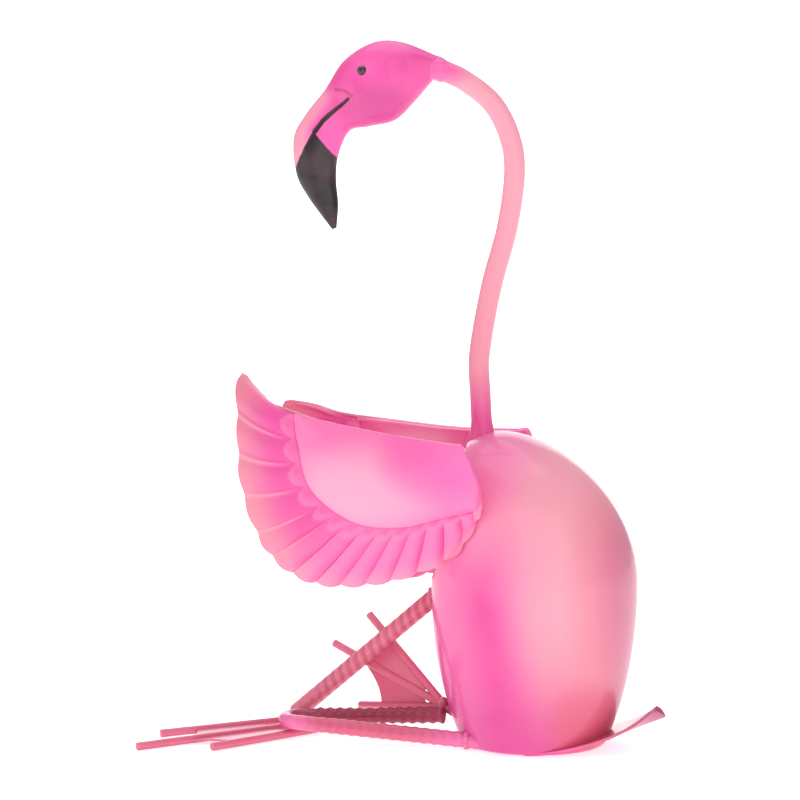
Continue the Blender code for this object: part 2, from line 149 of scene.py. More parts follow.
class Graph:
    """The node tree of one material."""

    def __init__(self, name: str) -> None:
        """Makes a material with a Principled shader.

        Args:
            name: The material's name.
        """
        self.material = bpy.data.materials.new(name)
        self.material.use_nodes = True
        self.tree = self.material.node_tree
        self.shader = self.tree.nodes["Principled BSDF"]

    def put(self, socket: bpy.types.NodeSocket, value: object) -> None:
        """Sets or links an input socket.

        Args:
            socket: The input socket.
            value: A number, a tuple, a tint or a signal.
        """
        if isinstance(value, Signal):
            self.tree.links.new(value.socket, socket)
            return
        if isinstance(value, Tint):
            value = value.value
        if isinstance(value, tuple) and socket.type == "RGBA":
            value = (*value, 1.0)
        socket.default_value = value

    def shade(self, sockets: dict[str, object]) -> None:
        """Sets or links inputs of the shader, by their names."""
        for name, value in sockets.items():
            self.put(self.shader.inputs[name], value)

    def add(self, kind: str, settings: dict, sockets: dict, output: Union[int, str] = 0) -> Signal:
        """Adds a node.

        Args:
            kind: The node's type.
            settings: Its attributes, set first.
            sockets: Its inputs by number or name, as numbers, tuples or signals.
            output: Which of its outputs to return.

        Returns:
            The chosen output.
        """
        node = self.tree.nodes.new(kind)
        for key, setting in settings.items():
            setattr(node, key, setting)
        for key, value in sockets.items():
            self.put(node.inputs[key], value)
        return Signal(self, node.outputs[output])

    def split(self, place: Signal) -> list[Signal]:
        """The three numbers of a vector signal."""
        node = self.tree.nodes.new("ShaderNodeSeparateXYZ")
        self.put(node.inputs[0], place)
        return [Signal(self, socket) for socket in node.outputs]

    def axes(self, shift: Vector) -> list[Signal]:
        """The place on the bird, in its drawn frame.

        Args:
            shift: What moves the drawn frame onto the solids.

        Returns:
            The signals x, y and z, in millimetres.
        """
        place = self.add("ShaderNodeTexCoord", {}, {}, "Object")
        sockets = {0: place, 1: tuple(shift)}
        drawn = self.add("ShaderNodeVectorMath", {"operation": "SUBTRACT"}, sockets)
        return [part * MILLIMETRES for part in self.split(drawn)]

    def sheet(self) -> list[Signal]:
        """The two shares of a piece's own UV map."""
        return self.split(self.add("ShaderNodeUVMap", {}, {}))[:2]

    def noise(self, scale: float, detail: float = 2.0) -> Signal:
        """A noise on object coordinates.

        Args:
            scale: The noise's scale, per metre.
            detail: Its octaves.

        Returns:
            The noise, about 0.5.
        """
        place = self.add("ShaderNodeTexCoord", {}, {}, "Object")
        return self.add("ShaderNodeTexNoise", {}, {"Vector": place, "Scale": scale, "Detail": detail})

    def mix(self, share: Value, first: object, second: object) -> Signal:
        """A mixture of two colours.

        Args:
            share: How much of the second colour there is.
            first: The first colour.
            second: The second colour.

        Returns:
            The mixed colour.
        """
        settings = {"data_type": "RGBA"}
        return self.add("ShaderNodeMix", settings, {0: share, 6: first, 7: second}, 2)

    def layers(self, colour: object, *coats: tuple[Value, object]) -> object:
        """Coats sprayed over a colour, one after another.

        Args:
            colour: The ground colour.
            coats: How much of each coat there is, and its colour.

        Returns:
            The mixed colour.
        """
        for share, coat in coats:
            colour = self.mix(share, colour, coat)
        return colour

    def spot(self, x: Signal, z: Signal, middle: Pair, reach: Pair) -> Signal:
        """A soft round spot of the airbrush.

        Args:
            x: The first coordinate.
            z: The second coordinate.
            middle: The spot's centre.
            reach: Its half axes.

        Returns:
            1 at the centre, falling to 0 at the half axes.
        """
        level = ((x - middle[0]) / reach[0]) ** 2.0
        upright = ((z - middle[1]) / reach[1]) ** 2.0
        return (level + upright).ramp(1.0, 0.0)

    def stroke(self, x: Signal, z: Signal, line: Pairs) -> Signal:
        """The distance to a painted line.

        Args:
            x: The first coordinate.
            z: The second coordinate.
            line: The line's corners.

        Returns:
            The distance, in the coordinates' unit.
        """
        nearest: Optional[Signal] = None
        for (ax, az), (bx, bz) in zip(line, line[1:]):
            length = (bx - ax) ** 2 + (bz - az) ** 2
            share = (((x - ax) * (bx - ax) + (z - az) * (bz - az)) / length).clamp()
            gap = ((x - ax - share * (bx - ax)) ** 2.0 + (z - az - share * (bz - az)) ** 2.0) ** 0.5
            nearest = gap if nearest is None else nearest.math("MINIMUM", gap)
        return nearest

    def finish(self, colour: object, roughness: Value, bump: Optional[Signal] = None) -> None:
        """Links the shader.

        Args:
            colour: The base colour.
            roughness: The roughness.
            bump: The height for the bump in metres, or None.
        """
        self.shade({"Base Color": colour, "Roughness": roughness})
        if bump is not None:
            sockets = {"Strength": 1.0, "Distance": 1.0, "Height": bump}
            self.shade({"Normal": self.add("ShaderNodeBump", {}, sockets)})


def linear(red: int, green: int, blue: int) -> Colour:
    """A colour of the paint chart as the shader takes it.

    Args:
        red: The screen value of red, 0 to 255.
        green: The same of green.
        blue: The same of blue.

    Returns:
        The linear colour.
    """
    def one(value: int) -> float:
        """One channel made linear."""
        share = value / 255
        return share / 12.92 if share <= 0.04045 else ((share + 0.055) / 1.055) ** 2.4

    return one(red), one(green), one(blue)


# Finishes.
class Tint(Enum):
    """The colours of the airbrushed paint."""

    PEARL = linear(253, 168, 197)
    SALMON = linear(238, 132, 156)
    PALE = linear(252, 166, 184)
    CANDY = linear(252, 124, 184)
    HOT = linear(252, 94, 176)
    MAGENTA = linear(236, 72, 158)
    PLUM = linear(214, 70, 148)
    ROSE = linear(214, 84, 124)
    RED = linear(222, 90, 120)
    # Painted shade: mauve stands in for the shade on the tail's curled tip, and for the shade and grey
    # reflection at the body's rear edge.
    MAUVE = linear(196, 104, 142)
    BAR = linear(238, 128, 152)
    # Painted shade: the dark of the legs' rib hollows, creases and back bar, and of the head's crease.
    DEEP = linear(140, 30, 62)
    COAL = linear(34, 27, 29)
    BLACK = linear(12, 9, 10)
    JET = (0.002, 0.002, 0.002)


@dataclass(frozen=True)
class Finish:
    """Glossy paint: what all the finishes share."""

    shift: Vector
    name: str = "paint"
    roughness: float = 0.34
    coat: float = 0.4
    coat_roughness: float = 0.06
    specular: float = 0.3
    cloud_scale: float = 38.0
    scuff_scale: float = 240.0
    peel_scale: float = 420.0
    peel: float = 0.00004

    def start(self) -> Graph:
        """Makes the material and sets its constant sockets.

        Returns:
            The material's graph.
        """
        graph = Graph(self.name)
        graph.shade(
            {
                "Coat Weight": self.coat,
                "Coat Roughness": self.coat_roughness,
                "Specular IOR Level": self.specular,
            }
        )
        return graph

    def close(self, graph: Graph, colour: object, relief: Value = 0.0) -> bpy.types.Material:
        """Adds the paint's fine variation, wear and orange peel, and links the shader.

        Args:
            graph: The material's graph.
            colour: The airbrushed colour.
            relief: A height in metres to add to the bump.

        Returns:
            The finished material.
        """
        cloud = graph.noise(self.cloud_scale, 3.0).ramp(0.3, 0.75)
        scuff = graph.noise(self.scuff_scale, 4.0).ramp(0.62, 0.8)
        height = graph.noise(self.peel_scale) * self.peel + relief
        rough = cloud * 0.05 + scuff * 0.12 + self.roughness
        graph.finish(graph.mix(cloud * 0.07, colour, Tint.PEARL), rough, height)
        return graph.material


@dataclass(frozen=True)
class BodyPaint(Finish):
    """Pale egg with a magenta band down the chest, candy by the neck, rose-red at the foot, and painted
    shade with a painted grey reflection at the rear edge.
    """

    name: str = "body_paint"

    def material(self) -> bpy.types.Material:
        """The finished material."""
        graph = self.start()
        x, _, z = graph.axes(self.shift)
        rear = x.ramp(114.0, 132.0)
        chest = x.ramp(104.0, 56.0) * z.ramp(160.0, 90.0)
        front = x.ramp(54.0, 30.0) * z.ramp(122.0, 50.0)
        crown = graph.spot(x, z, (50.0, 158.0), (40.0, 40.0))
        band_middle = z * -0.13 + 72.0
        band_half = z * -0.06 + 31.0
        band = ((x - band_middle) / band_half).math("ABSOLUTE").ramp(1.0, 0.0) * z.ramp(118.0, 78.0)
        foot = z.ramp(56.0, 8.0) * x.ramp(124.0, 94.0)
        heel = graph.spot(x, z, (112.0, 12.0), (24.0, 34.0))
        colour = graph.layers(
            Tint.PALE,
            (x.ramp(98.0, 128.0), Tint.SALMON),
            (z.ramp(78.0, 40.0) * 0.5, Tint.SALMON),
            # painted shade and painted grey reflection towards the rear edge
            (rear * 0.6, Tint.MAUVE),
            (chest * 0.95, Tint.CANDY),
            (front * 0.85, Tint.MAGENTA),
            (crown * 0.9, Tint.CANDY),
            (band * 0.95, Tint.MAGENTA),
            (foot * 0.8, Tint.PLUM),
            (heel * 0.8, Tint.RED),
        )
        return self.close(graph, colour)


@dataclass(frozen=True)
class NeckPaint(Finish):
    """Pale tube with magenta at both welds."""

    name: str = "neck_paint"

    def material(self) -> bpy.types.Material:
        """The finished material."""
        graph = self.start()
        x, _, z = graph.axes(self.shift)
        top = graph.spot(x, z, (20.0, 366.0), (28.0, 17.0))
        colour = graph.layers(
            Tint.PALE,
            (z.ramp(330.0, 190.0) * 0.5, Tint.SALMON),
            (z.ramp(206.0, 172.0) * 0.9, Tint.MAGENTA),
            (top * 0.9, Tint.HOT),
        )
        return self.close(graph, colour)


@dataclass(frozen=True)
class HeadPaint(Finish):
    """Magenta head, candy bill, black tip and mouth line."""

    name: str = "head_paint"
    mouth: Pairs = ((-26.1, 347.2), (-31.2, 343.5), (-36.3, 339.8), (-41.5, 335.6), (-46.1, 329.7))
    seam: Pairs = ((-47.8, 327.1), (-48.3, 320.0), (-48.6, 308.6), (-46.0, 297.7), (-41.5, 288.5))
    peak: Pair = (-47.2, 329.8)
    ridge: Pairs = ((-45.0, 350.0), (-56.0, 336.0), (-58.0, 318.0))
    crease: Pairs = ((-34.2, 352.6), (-28.2, 352.0), (-23.7, 348.9))

    def material(self) -> bpy.types.Material:
        """The finished material."""
        graph = self.start()
        x, _, z = graph.axes(self.shift)
        nape = graph.spot(x, z, (14.0, 362.0), (24.0, 18.0))
        cheek = graph.spot(x, z, (-8.0, 341.0), (34.0, 20.0))
        brow = graph.spot(x, z, (-31.0, 358.0), (15.0, 13.0))
        fold = graph.stroke(x, z, self.crease)
        wobble = (graph.noise(300.0) - 0.5) * 1.6
        front = (self.peak[0] - x) * 1.70
        back = (x - self.peak[0] - 1.0) * 1.30
        fall = front.math("MAXIMUM", back).math("MAXIMUM", 0.0)
        tip = (z + fall + wobble).ramp(self.peak[1] + 0.8, self.peak[1] - 0.8)
        thin = (x + 44.0).ramp(4.0, 18.0) * 0.5
        stripe = (graph.stroke(x, z, self.mouth) + wobble * 0.4 + thin).ramp(1.8, 0.9)
        behind = x + 48.2 - (312.0 - z).math("MAXIMUM", 0.0) * 0.3
        black = graph.mix(behind.ramp(-1.0, 1.4), Tint.BLACK, Tint.COAL)
        colour = graph.layers(
            Tint.HOT,
            (graph.stroke(x, z, self.ridge).ramp(11.0, 2.0) * 0.85, Tint.PALE),
            (nape * 0.7, Tint.MAGENTA),
            (cheek * 0.95, Tint.PLUM),
            (brow * 0.7, Tint.MAGENTA),
            # painted shade along the crease
            (fold.ramp(1.3, 0.3) * 0.45, Tint.DEEP),
            (tip.math("MAXIMUM", stripe), black),
        )
        lips = graph.stroke(x, z, (*self.mouth, *self.seam)).ramp(1.5, 0.0)
        return self.close(graph, colour, lips * -0.0008 - fold.ramp(1.6, 0.0) * 0.0003)


@dataclass(frozen=True)
class WingPaint(Finish):
    """Pale covert, magenta feather roots and salmon tips, over the wing's own shares; the covert's pale
    centre is partly a painted highlight, the feather ridges carry a painted highlight, and the feathers'
    steps and the covert's groove carry painted shade.
    """

    name: str = "wing_paint"
    root: float = 0.5
    lip: float = 0.0
    feathers: int = 14

    def material(self) -> bpy.types.Material:
        """The finished material."""
        graph = self.start()
        x, _, z = graph.axes(self.shift)
        u, row = graph.sheet()
        share = ((u - self.lip) / (1 - self.lip)).clamp()
        part = (share * self.feathers).math("FRACT")
        front = share.ramp(0.52, 0.28)
        out = ((row - self.root) / (1 - self.root)).clamp()
        fold = part.ramp(0.30, 0.88) * out.ramp(0.05, 0.25) * out.ramp(1.15, 0.65)
        seam = part.ramp(0.10, 0.0).math("MAXIMUM", part.ramp(0.95, 1.0)) * front
        vane = graph.layers(
            graph.mix(out.ramp(0.6, 1.05) * 0.6, Tint.CANDY, Tint.PALE),
            (front, graph.mix(out.ramp(0.30, 0.95), Tint.MAGENTA, Tint.SALMON)),
            # painted shade over the stepped side of each feather
            (fold * (front * -0.4 + 0.7), Tint.MAGENTA),
            # painted highlight along the feather ridges
            (seam * out.ramp(0.1, 0.5) * 0.5, Tint.PALE),
        )
        lobe = (part * math.pi).math("SINE") * 0.14 + 0.08
        band = out.ramp(0.0, 0.03) * ((lobe - out) * 25.0).clamp()
        groove = (row - self.root).math("ABSOLUTE").ramp(0.012, 0.0) * share.ramp(0.01, 0.06)
        colour = graph.layers(
            Tint.CANDY,
            # pale covert centre: partly paint, partly a painted highlight
            (graph.spot(x, z, (-1.0, 141.0), (50.0, 30.0)) * 0.95, Tint.PEARL),
            (graph.spot(x, z, (38.0, 158.0), (38.0, 28.0)) * 0.75, Tint.HOT),
            (row.ramp(self.root - 0.004, self.root + 0.004), vane),
            (band * 0.6, Tint.CANDY),
            # painted shade in the groove round the covert
            (groove * 0.75, Tint.MAGENTA),
        )
        barbs = graph.noise(900.0, 1.0) * 0.00004
        return self.close(graph, colour, barbs)


@dataclass(frozen=True)
class WingRimPaint(Finish):
    """Salmon over the rolled edge of a wing, candy where it meets the body."""

    name: str = "wing_rim_paint"

    def material(self) -> bpy.types.Material:
        """The finished material."""
        graph = self.start()
        x = graph.axes(self.shift)[0]
        return self.close(graph, graph.mix(x.ramp(20.0, 56.0), Tint.SALMON, Tint.CANDY))


@dataclass(frozen=True)
class TailPaint(Finish):
    """Salmon leaf with a magenta root, and painted shade in mauve over its curled tip."""

    name: str = "tail_paint"

    def material(self) -> bpy.types.Material:
        """The finished material."""
        graph = self.start()
        x = graph.axes(self.shift)[0]
        colour = graph.layers(
            Tint.CANDY,
            (x.ramp(100.0, 132.0), Tint.SALMON),
            (x.ramp(94.0, 118.0) * 0.5, Tint.ROSE),
            (x.ramp(112.0, 84.0) * 0.8, Tint.MAGENTA),
            # painted shade over the curled tip
            (x.ramp(118.0, 144.0) * 0.9, Tint.MAUVE),
        )
        return self.close(graph, colour)


@dataclass(frozen=True)
class LegPaint(Finish):
    """Pink over rolled bar, with painted shade in the hollows between the ribs, in creases and over the
    hairpin's back bar.
    """

    name: str = "leg_paint"
    dark: float = 0.15
    brushed: float = 0.0
    # share of painted shade over the hairpin's back bar
    shaded: float = 0.0
    ribs: float = 0.0
    slant: float = 0.0
    rib_shade: float = 0.0

    def material(self) -> bpy.types.Material:
        """The finished material."""
        graph = self.start()
        x, y, _ = graph.axes(self.shift)
        ends = x.ramp(-34.0, -52.0).math("MAXIMUM", x.ramp(14.0, 44.0))
        inner = y.ramp(-26.0, -20.0)
        colour = graph.layers(
            Tint.SALMON,
            (graph.noise(60.0, 3.0).ramp(0.35, 0.7) * 0.6, Tint.BAR),
            (self.dark, Tint.ROSE),
            (ends * self.brushed, Tint.CANDY),
            # painted shade over the back bar, which lies behind the near bar
            (inner * self.shaded, Tint.DEEP),
        )
        if self.ribs:
            share, turn = graph.sheet()
            side = turn.ramp(0.495, 0.505) * -2.0 + 1.0
            phase = (share * self.ribs + side * turn * (2 * self.slant)) * (2 * math.pi)
            low = (phase.math("SINE") * -0.5 + 0.5) * x.ramp(-54.0, -38.0)
            # painted shade in the hollows between the ribs, more on the back bar
            colour = graph.mix(low * (inner * 0.6 + 0.4) * self.rib_shade, colour, Tint.DEEP)
        # painted shade from ambient occlusion in hollows and creases
        hollow = graph.add("ShaderNodeAmbientOcclusion", {"samples": 4}, {"Distance": 0.004}, "AO")
        return self.close(graph, graph.mix(hollow.ramp(0.9, 0.2) * 0.5, colour, Tint.DEEP))


@dataclass(frozen=True)
class BeadBlack(Finish):
    """Glossy black glass bead."""

    name: str = "eye_black"
    roughness: float = 0.05
    coat: float = 1.0
    coat_roughness: float = 0.03
    specular: float = 0.5

    def material(self) -> bpy.types.Material:
        """The finished material."""
        graph = self.start()
        cloud = graph.noise(500.0)
        graph.finish(graph.mix(cloud, Tint.BLACK, Tint.JET), cloud * 0.04 + self.roughness)
        return graph.material


# Helpers for shapes.
def held(value: float) -> float:
    """The value held between 0 and 1."""
    return min(1.0, max(0.0, value))


def hump(value: float, middle: float, width: float) -> float:
    """A bell curve's height at a value, 1 at its middle."""
    return math.exp(-(((value - middle) / width) ** 2))


def gaps(points: Sequence[Vector]) -> list[float]:
    """The lengths of a polyline's segments."""
    return [(b - a).length for a, b in zip(points, points[1:])]


def along(points: Sequence[Vector], share: float) -> Vector:
    """The point at a share of a polyline's length.

    Args:
        points: The polyline.
        share: The share of its length, 0 to 1.

    Returns:
        The point there.
    """
    lengths = gaps(points)
    left = share * sum(lengths)
    for a, b, length in zip(points, points[1:], lengths):
        if left <= length:
            return a.lerp(b, left / length)
        left -= length
    return points[-1].copy()


def smooth_line(points: Sequence[Vector], count: int) -> list[Vector]:
    """Evenly spaced points on a curve through the given points.

    Args:
        points: The points that the curve passes.
        count: How many points to return.

    Returns:
        The points of the curve.
    """
    ends = [2 * points[0] - points[1], *points, 2 * points[-1] - points[-2]]
    dense = []
    for i in range(len(points) - 1):
        a, b, c, d = ends[i : i + 4]
        for k in range(CURVE_STEPS):
            t = k / CURVE_STEPS
            dense.append(
                0.5 * (2 * b + (c - a) * t + (2 * a - 5 * b + 4 * c - d) * t * t)
                + 0.5 * (3 * b - a - 3 * c + d) * t**3
            )
    dense.append(points[-1])
    return [along(dense, k / (count - 1)) for k in range(count)]


def flat(pairs: Pairs) -> list[Vector]:
    """Side-view pairs (x, z) as points in the plane of symmetry."""
    return [Vector((x, 0, z)) for x, z in pairs]


def deselect() -> None:
    """Selects nothing."""
    bpy.ops.object.select_all(action="DESELECT")


def activate(obj: bpy.types.Object) -> None:
    """Selects the object alone and makes it the active one."""
    deselect()
    obj.select_set(True)
    bpy.context.view_layer.objects.active = obj


def taken(name: str) -> bpy.types.Object:
    """Names the object that an operator has just added.

    Args:
        name: The piece's name.

    Returns:
        The object.
    """
    obj = bpy.context.active_object
    obj.name = name
    obj.data.name = name
    return obj


def settle(obj: bpy.types.Object) -> None:
    """Puts the object's place and turn into its mesh."""
    activate(obj)
    bpy.ops.object.transform_apply(location=True, rotation=True, scale=True)


def modify(obj: bpy.types.Object, kind: str, **settings: object) -> None:
    """Adds a modifier to the object and applies it.

    Args:
        obj: The object.
        kind: The modifier's type.
        settings: Its attributes.
    """
    modifier = obj.modifiers.new(kind.lower(), kind)
    for key, setting in settings.items():
        setattr(modifier, key, setting)
    activate(obj)
    bpy.ops.object.modifier_apply(modifier=modifier.name)


def edit(obj: bpy.types.Object, kind: str) -> None:
    """Opens the object in edit mode with nothing selected.

    Args:
        obj: The object.
        kind: VERT, EDGE or FACE.
    """
    activate(obj)
    bpy.ops.object.mode_set(mode="EDIT")
    bpy.ops.mesh.select_mode(type=kind)
    bpy.ops.mesh.select_all(action="DESELECT")


def choose(obj: bpy.types.Object, test: Callable[[Vector], bool]) -> None:
    """Selects, in edit mode, the vertices that pass a test.

    Args:
        obj: The object in edit mode.
        test: A test of a vertex's place.
    """
    mesh = bmesh.from_edit_mesh(obj.data)
    for vert in mesh.verts:
        vert.select = test(vert.co)
    mesh.select_flush_mode()
    mesh.select_flush(True)
    bmesh.update_edit_mesh(obj.data)


def leave_edit() -> None:
    """Goes back to object mode."""
    bpy.ops.object.mode_set(mode="OBJECT")


def outward(obj: bpy.types.Object) -> None:
    """Merges doubles and turns every face outwards."""
    edit(obj, "VERT")
    bpy.ops.mesh.select_all(action="SELECT")
    bpy.ops.mesh.remove_doubles(threshold=0.00001)
    bpy.ops.mesh.normals_make_consistent(inside=False)
    leave_edit()


def drape(name: str, columns: int, rows: int, place: Place, closed: bool = False) -> bpy.types.Object:
    """A grid primitive laid over a surface, with its two shares kept as its UV map.

    Args:
        name: The piece's name.
        columns: Faces along the first share.
        rows: Faces along the second share.
        place: Where each pair of shares goes.
        closed: True if the second share runs round a closed ring, whose ends are then capped.

    Returns:
        The object, with its faces turned outwards.
    """
    deselect()
    bpy.ops.mesh.primitive_grid_add(x_subdivisions=columns, y_subdivisions=rows, size=1.0)
    obj = taken(name)
    for vert in obj.data.vertices:
        vert.co = place(round(vert.co.x + 0.5, 6), round(vert.co.y + 0.5, 6))
    outward(obj)
    if closed:
        edit(obj, "EDGE")
        bpy.ops.mesh.select_non_manifold(extend=False)
        bpy.ops.mesh.fill_holes(sides=0)
        bpy.ops.mesh.select_all(action="SELECT")
        bpy.ops.mesh.normals_make_consistent(inside=False)
        leave_edit()
    return obj


def thicken(obj: bpy.types.Object, wall: float) -> None:
    """Gives a sheet its wall, half to each side."""
    modify(obj, "SOLIDIFY", thickness=wall, offset=0.0)


def soften(obj: bpy.types.Object, width: float, segments: int = 3, angle: float = 50.0) -> None:
    """Rounds a piece's sharp edges.

    Args:
        obj: The piece.
        width: The rounding's width.
        segments: Its steps.
        angle: The smallest angle that counts as sharp, in degrees.
    """
    limit = math.radians(angle)
    modify(obj, "BEVEL", width=width, segments=segments, limit_method="ANGLE", angle_limit=limit)


def trim(obj: bpy.types.Object, cutter: bpy.types.Object) -> None:
    """Cuts the cutter's shape out of a piece."""
    modify(obj, "BOOLEAN", operation="DIFFERENCE", solver="EXACT", object=cutter)


def round_bar(
    name: str, line: Sequence[Vector], radius: Radius, sides: int, aside: Vector = ACROSS
) -> bpy.types.Object:
    """A bar along a line, with a radius that may change along and round it.

    Args:
        name: The piece's name.
        line: The bar's centre line.
        radius: The radius at a length along the line and an angle round it.
        sides: Faces round the bar.
        aside: A direction that is never along the line.

    Returns:
        The object.
    """
    steps = len(line) - 1
    lengths = [0.0, *itertools.accumulate(gaps(line))]

    def place(share: float, turn: float) -> Vector:
        """A point of the bar's skin."""
        k = round(share * steps)
        way = (line[min(k + 1, steps)] - line[max(k - 1, 0)]).normalized()
        first = way.cross(aside).normalized()
        second = way.cross(first)
        angle = 2 * math.pi * turn
        arm = radius(lengths[k], angle)
        return line[k] + (first * math.cos(angle) + second * math.sin(angle)) * arm

    return drape(name, steps, sides, place, closed=True)


def rod(name: str, root: Vector, tip: Vector, radius: float) -> bpy.types.Object:
    """A plain round rod.

    Args:
        name: The piece's name.
        root: Where it starts.
        tip: Where it ends.
        radius: Its radius.

    Returns:
        The object.
    """
    way = tip - root
    deselect()
    bpy.ops.mesh.primitive_cylinder_add(
        vertices=28,
        radius=radius,
        depth=way.length,
        location=(root + tip) / 2,
        rotation=UP.rotation_difference(way.normalized()).to_euler(),
    )
    obj = taken(name)
    settle(obj)
    return obj


def bead(name: str, place: Vector, axis: Vector, size: Pair, seed: int) -> bpy.types.Object:
    """A lumpy ring of weld.

    Args:
        name: The piece's name.
        place: The ring's centre.
        axis: The ring's axis.
        size: From the centre to the middle of the bead, and the bead's own radius.
        seed: What makes its lumps differ from another's.

    Returns:
        The object.
    """
    radius, fat = size
    deselect()
    bpy.ops.mesh.primitive_torus_add(
        major_radius=radius, minor_radius=fat, major_segments=72, minor_segments=20
    )
    obj = taken(name)
    turn = UP.rotation_difference(axis.normalized()).to_matrix()
    for vert in obj.data.vertices:
        angle = math.atan2(vert.co.y, vert.co.x)
        spine = Vector((math.cos(angle), math.sin(angle), 0)) * radius
        lump = 1 + 0.16 * math.sin(angle * 9 + seed) + 0.12 * math.sin(angle * 5 + seed * 2.1)
        vert.co = place + turn @ (spine + (vert.co - spine) * lump)
        vert.co.z = max(vert.co.z, 0.0002)
    return obj


def dab(name: str, place: Vector, size: Triple, seed: int) -> bpy.types.Object:
    """A smooth, uneven lump of weld.

    Args:
        name: The piece's name.
        place: Its centre.
        size: Its half axes.
        seed: What makes its shape differ from another's.

    Returns:
        The object.
    """
    deselect()
    bpy.ops.mesh.primitive_uv_sphere_add(segments=32, ring_count=20, radius=1.0)
    obj = taken(name)
    for vert in obj.data.vertices:
        way = vert.co.copy()
        lump = 1 + 0.14 * math.sin(way.x * 4 + seed) + 0.12 * math.sin(way.z * 5 + seed * 1.7)
        vert.co = place + Vector([way[k] * size[k] * lump for k in range(3)])
    return obj


# Sub-assemblies.
@dataclass
class Piece:
    """What the sub-assemblies share: where the bird stands, and how a piece joins it."""

    shift: Vector

    def join(
        self,
        obj: bpy.types.Object,
        material: bpy.types.Material,
        slot: str,
        nodes: Sequence[str] = (),
        angle: float = 40.0,
    ) -> None:
        """Moves a drawn piece onto the bird, paints it and ties it to the frame.

        Args:
            obj: The drawn piece.
            material: Its finish.
            slot: The record's material slot; not used.
            nodes: The solids that it stands for.
            angle: Edges sharper than this stay sharp, in degrees.
        """
        settle(obj)
        for vert in obj.data.vertices:
            vert.co += self.shift
        obj.data.materials.clear()
        obj.data.materials.append(material)
        activate(obj)
        bpy.ops.object.shade_smooth_by_angle(angle=math.radians(angle))
        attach(obj, "root")
        if nodes:
            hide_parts(*nodes)
        LOG.info("%s: %d faces", obj.name, len(obj.data.polygons))


@dataclass
class Egg(Piece):
    """The hollow body: two half eggs that meet at the widest ring, cut by the floor."""

    radius: float = 0.0555
    height: float = 0.1685
    waist: float = 0.087
    lower: float = 0.1200
    lean: float = 0.0180
    middle: float = 0.0757
    wall: float = 0.0015
    foot_round: float = 0.0022
    edge_round: float = 0.0004
    waist_ring: float = 0.0001
    room_wall: float = 0.6
    room_floor: float = -0.004
    opening: Pair = (0.0297, 0.1245)
    opening_radius: float = 0.0400
    cutter_length: float = 0.060
    cutter_ahead: float = 0.012
    bottle_rise: float = math.radians(14.3)

    def centre(self, z: float) -> float:
        """The x of the egg's axis at a height."""
        share = max(0.0, (z - self.waist) / (self.height - self.waist))
        return self.middle - self.lean * share * share

    def half_width(self, x: float, z: float, grow: float) -> float:
        """Half the width across the bird of an egg grown by a margin, at a place of the side view."""
        rise = (self.height - self.waist if z > self.waist else self.lower) + grow
        share = (z - self.waist) / rise
        half = (self.radius + grow) * math.sqrt(max(0.0, 1 - share * share))
        return math.sqrt(max(0.0, half**2 - (x - self.centre(z)) ** 2))

    def shell(self, name: str, grow: float, floor: float) -> bpy.types.Object:
        """A closed egg.

        Args:
            name: Its name.
            grow: How much larger it is than the body.
            floor: The height of its flat underside.

        Returns:
            The object.
        """
        radius = self.radius + grow
        pivot = (self.middle, 0, self.waist)
        deselect()
        bpy.ops.mesh.primitive_uv_sphere_add(
            segments=96, ring_count=72, radius=radius, location=pivot
        )
        obj = taken(name)
        settle(obj)
        upper = (self.height - self.waist + grow) / radius
        lower = (self.lower + grow) / radius
        edit(obj, "VERT")
        choose(obj, lambda place: place.z > self.waist + self.waist_ring)
        bpy.ops.transform.resize(value=(1, 1, upper), center_override=pivot)
        choose(obj, lambda place: place.z < self.waist - self.waist_ring)
        bpy.ops.transform.resize(value=(1, 1, lower), center_override=pivot)
        bpy.ops.mesh.select_all(action="SELECT")
        bpy.ops.mesh.bisect(
            plane_co=(0, 0, floor), plane_no=(0, 0, 1), clear_inner=True, use_fill=True
        )
        leave_edit()
        for vert in obj.data.vertices:
            vert.co.x += self.centre(vert.co.z) - self.middle
        return obj

    def room(self) -> bpy.types.Object:
        """A cutter that ends other pieces inside the egg's wall."""
        return self.shell("egg_room", -self.wall * self.room_wall, self.room_floor)

    def build(self) -> None:
        """Makes the shell, its foot, its wall and its round opening."""
        obj = self.shell("body_egg", 0.0, 0.0)
        soften(obj, self.foot_round, 4)
        inner = self.shell("egg_hollow", -self.wall, self.wall)
        axis = Vector((-math.cos(self.bottle_rise), 0, math.sin(self.bottle_rise)))
        deselect()
        bpy.ops.mesh.primitive_cylinder_add(
            vertices=96,
            radius=self.opening_radius,
            depth=self.cutter_length,
            location=Vector((self.opening[0], 0, self.opening[1])) + axis * self.cutter_ahead,
            rotation=UP.rotation_difference(axis).to_euler(),
        )
        for cutter in (inner, taken("opening_cutter")):
            trim(obj, cutter)
            bpy.data.objects.remove(cutter, do_unlink=True)
        soften(obj, self.edge_round, 2, 60.0)
        self.join(obj, BodyPaint(self.shift).material(), "pink_paint", ["body_shell"], 30.0)


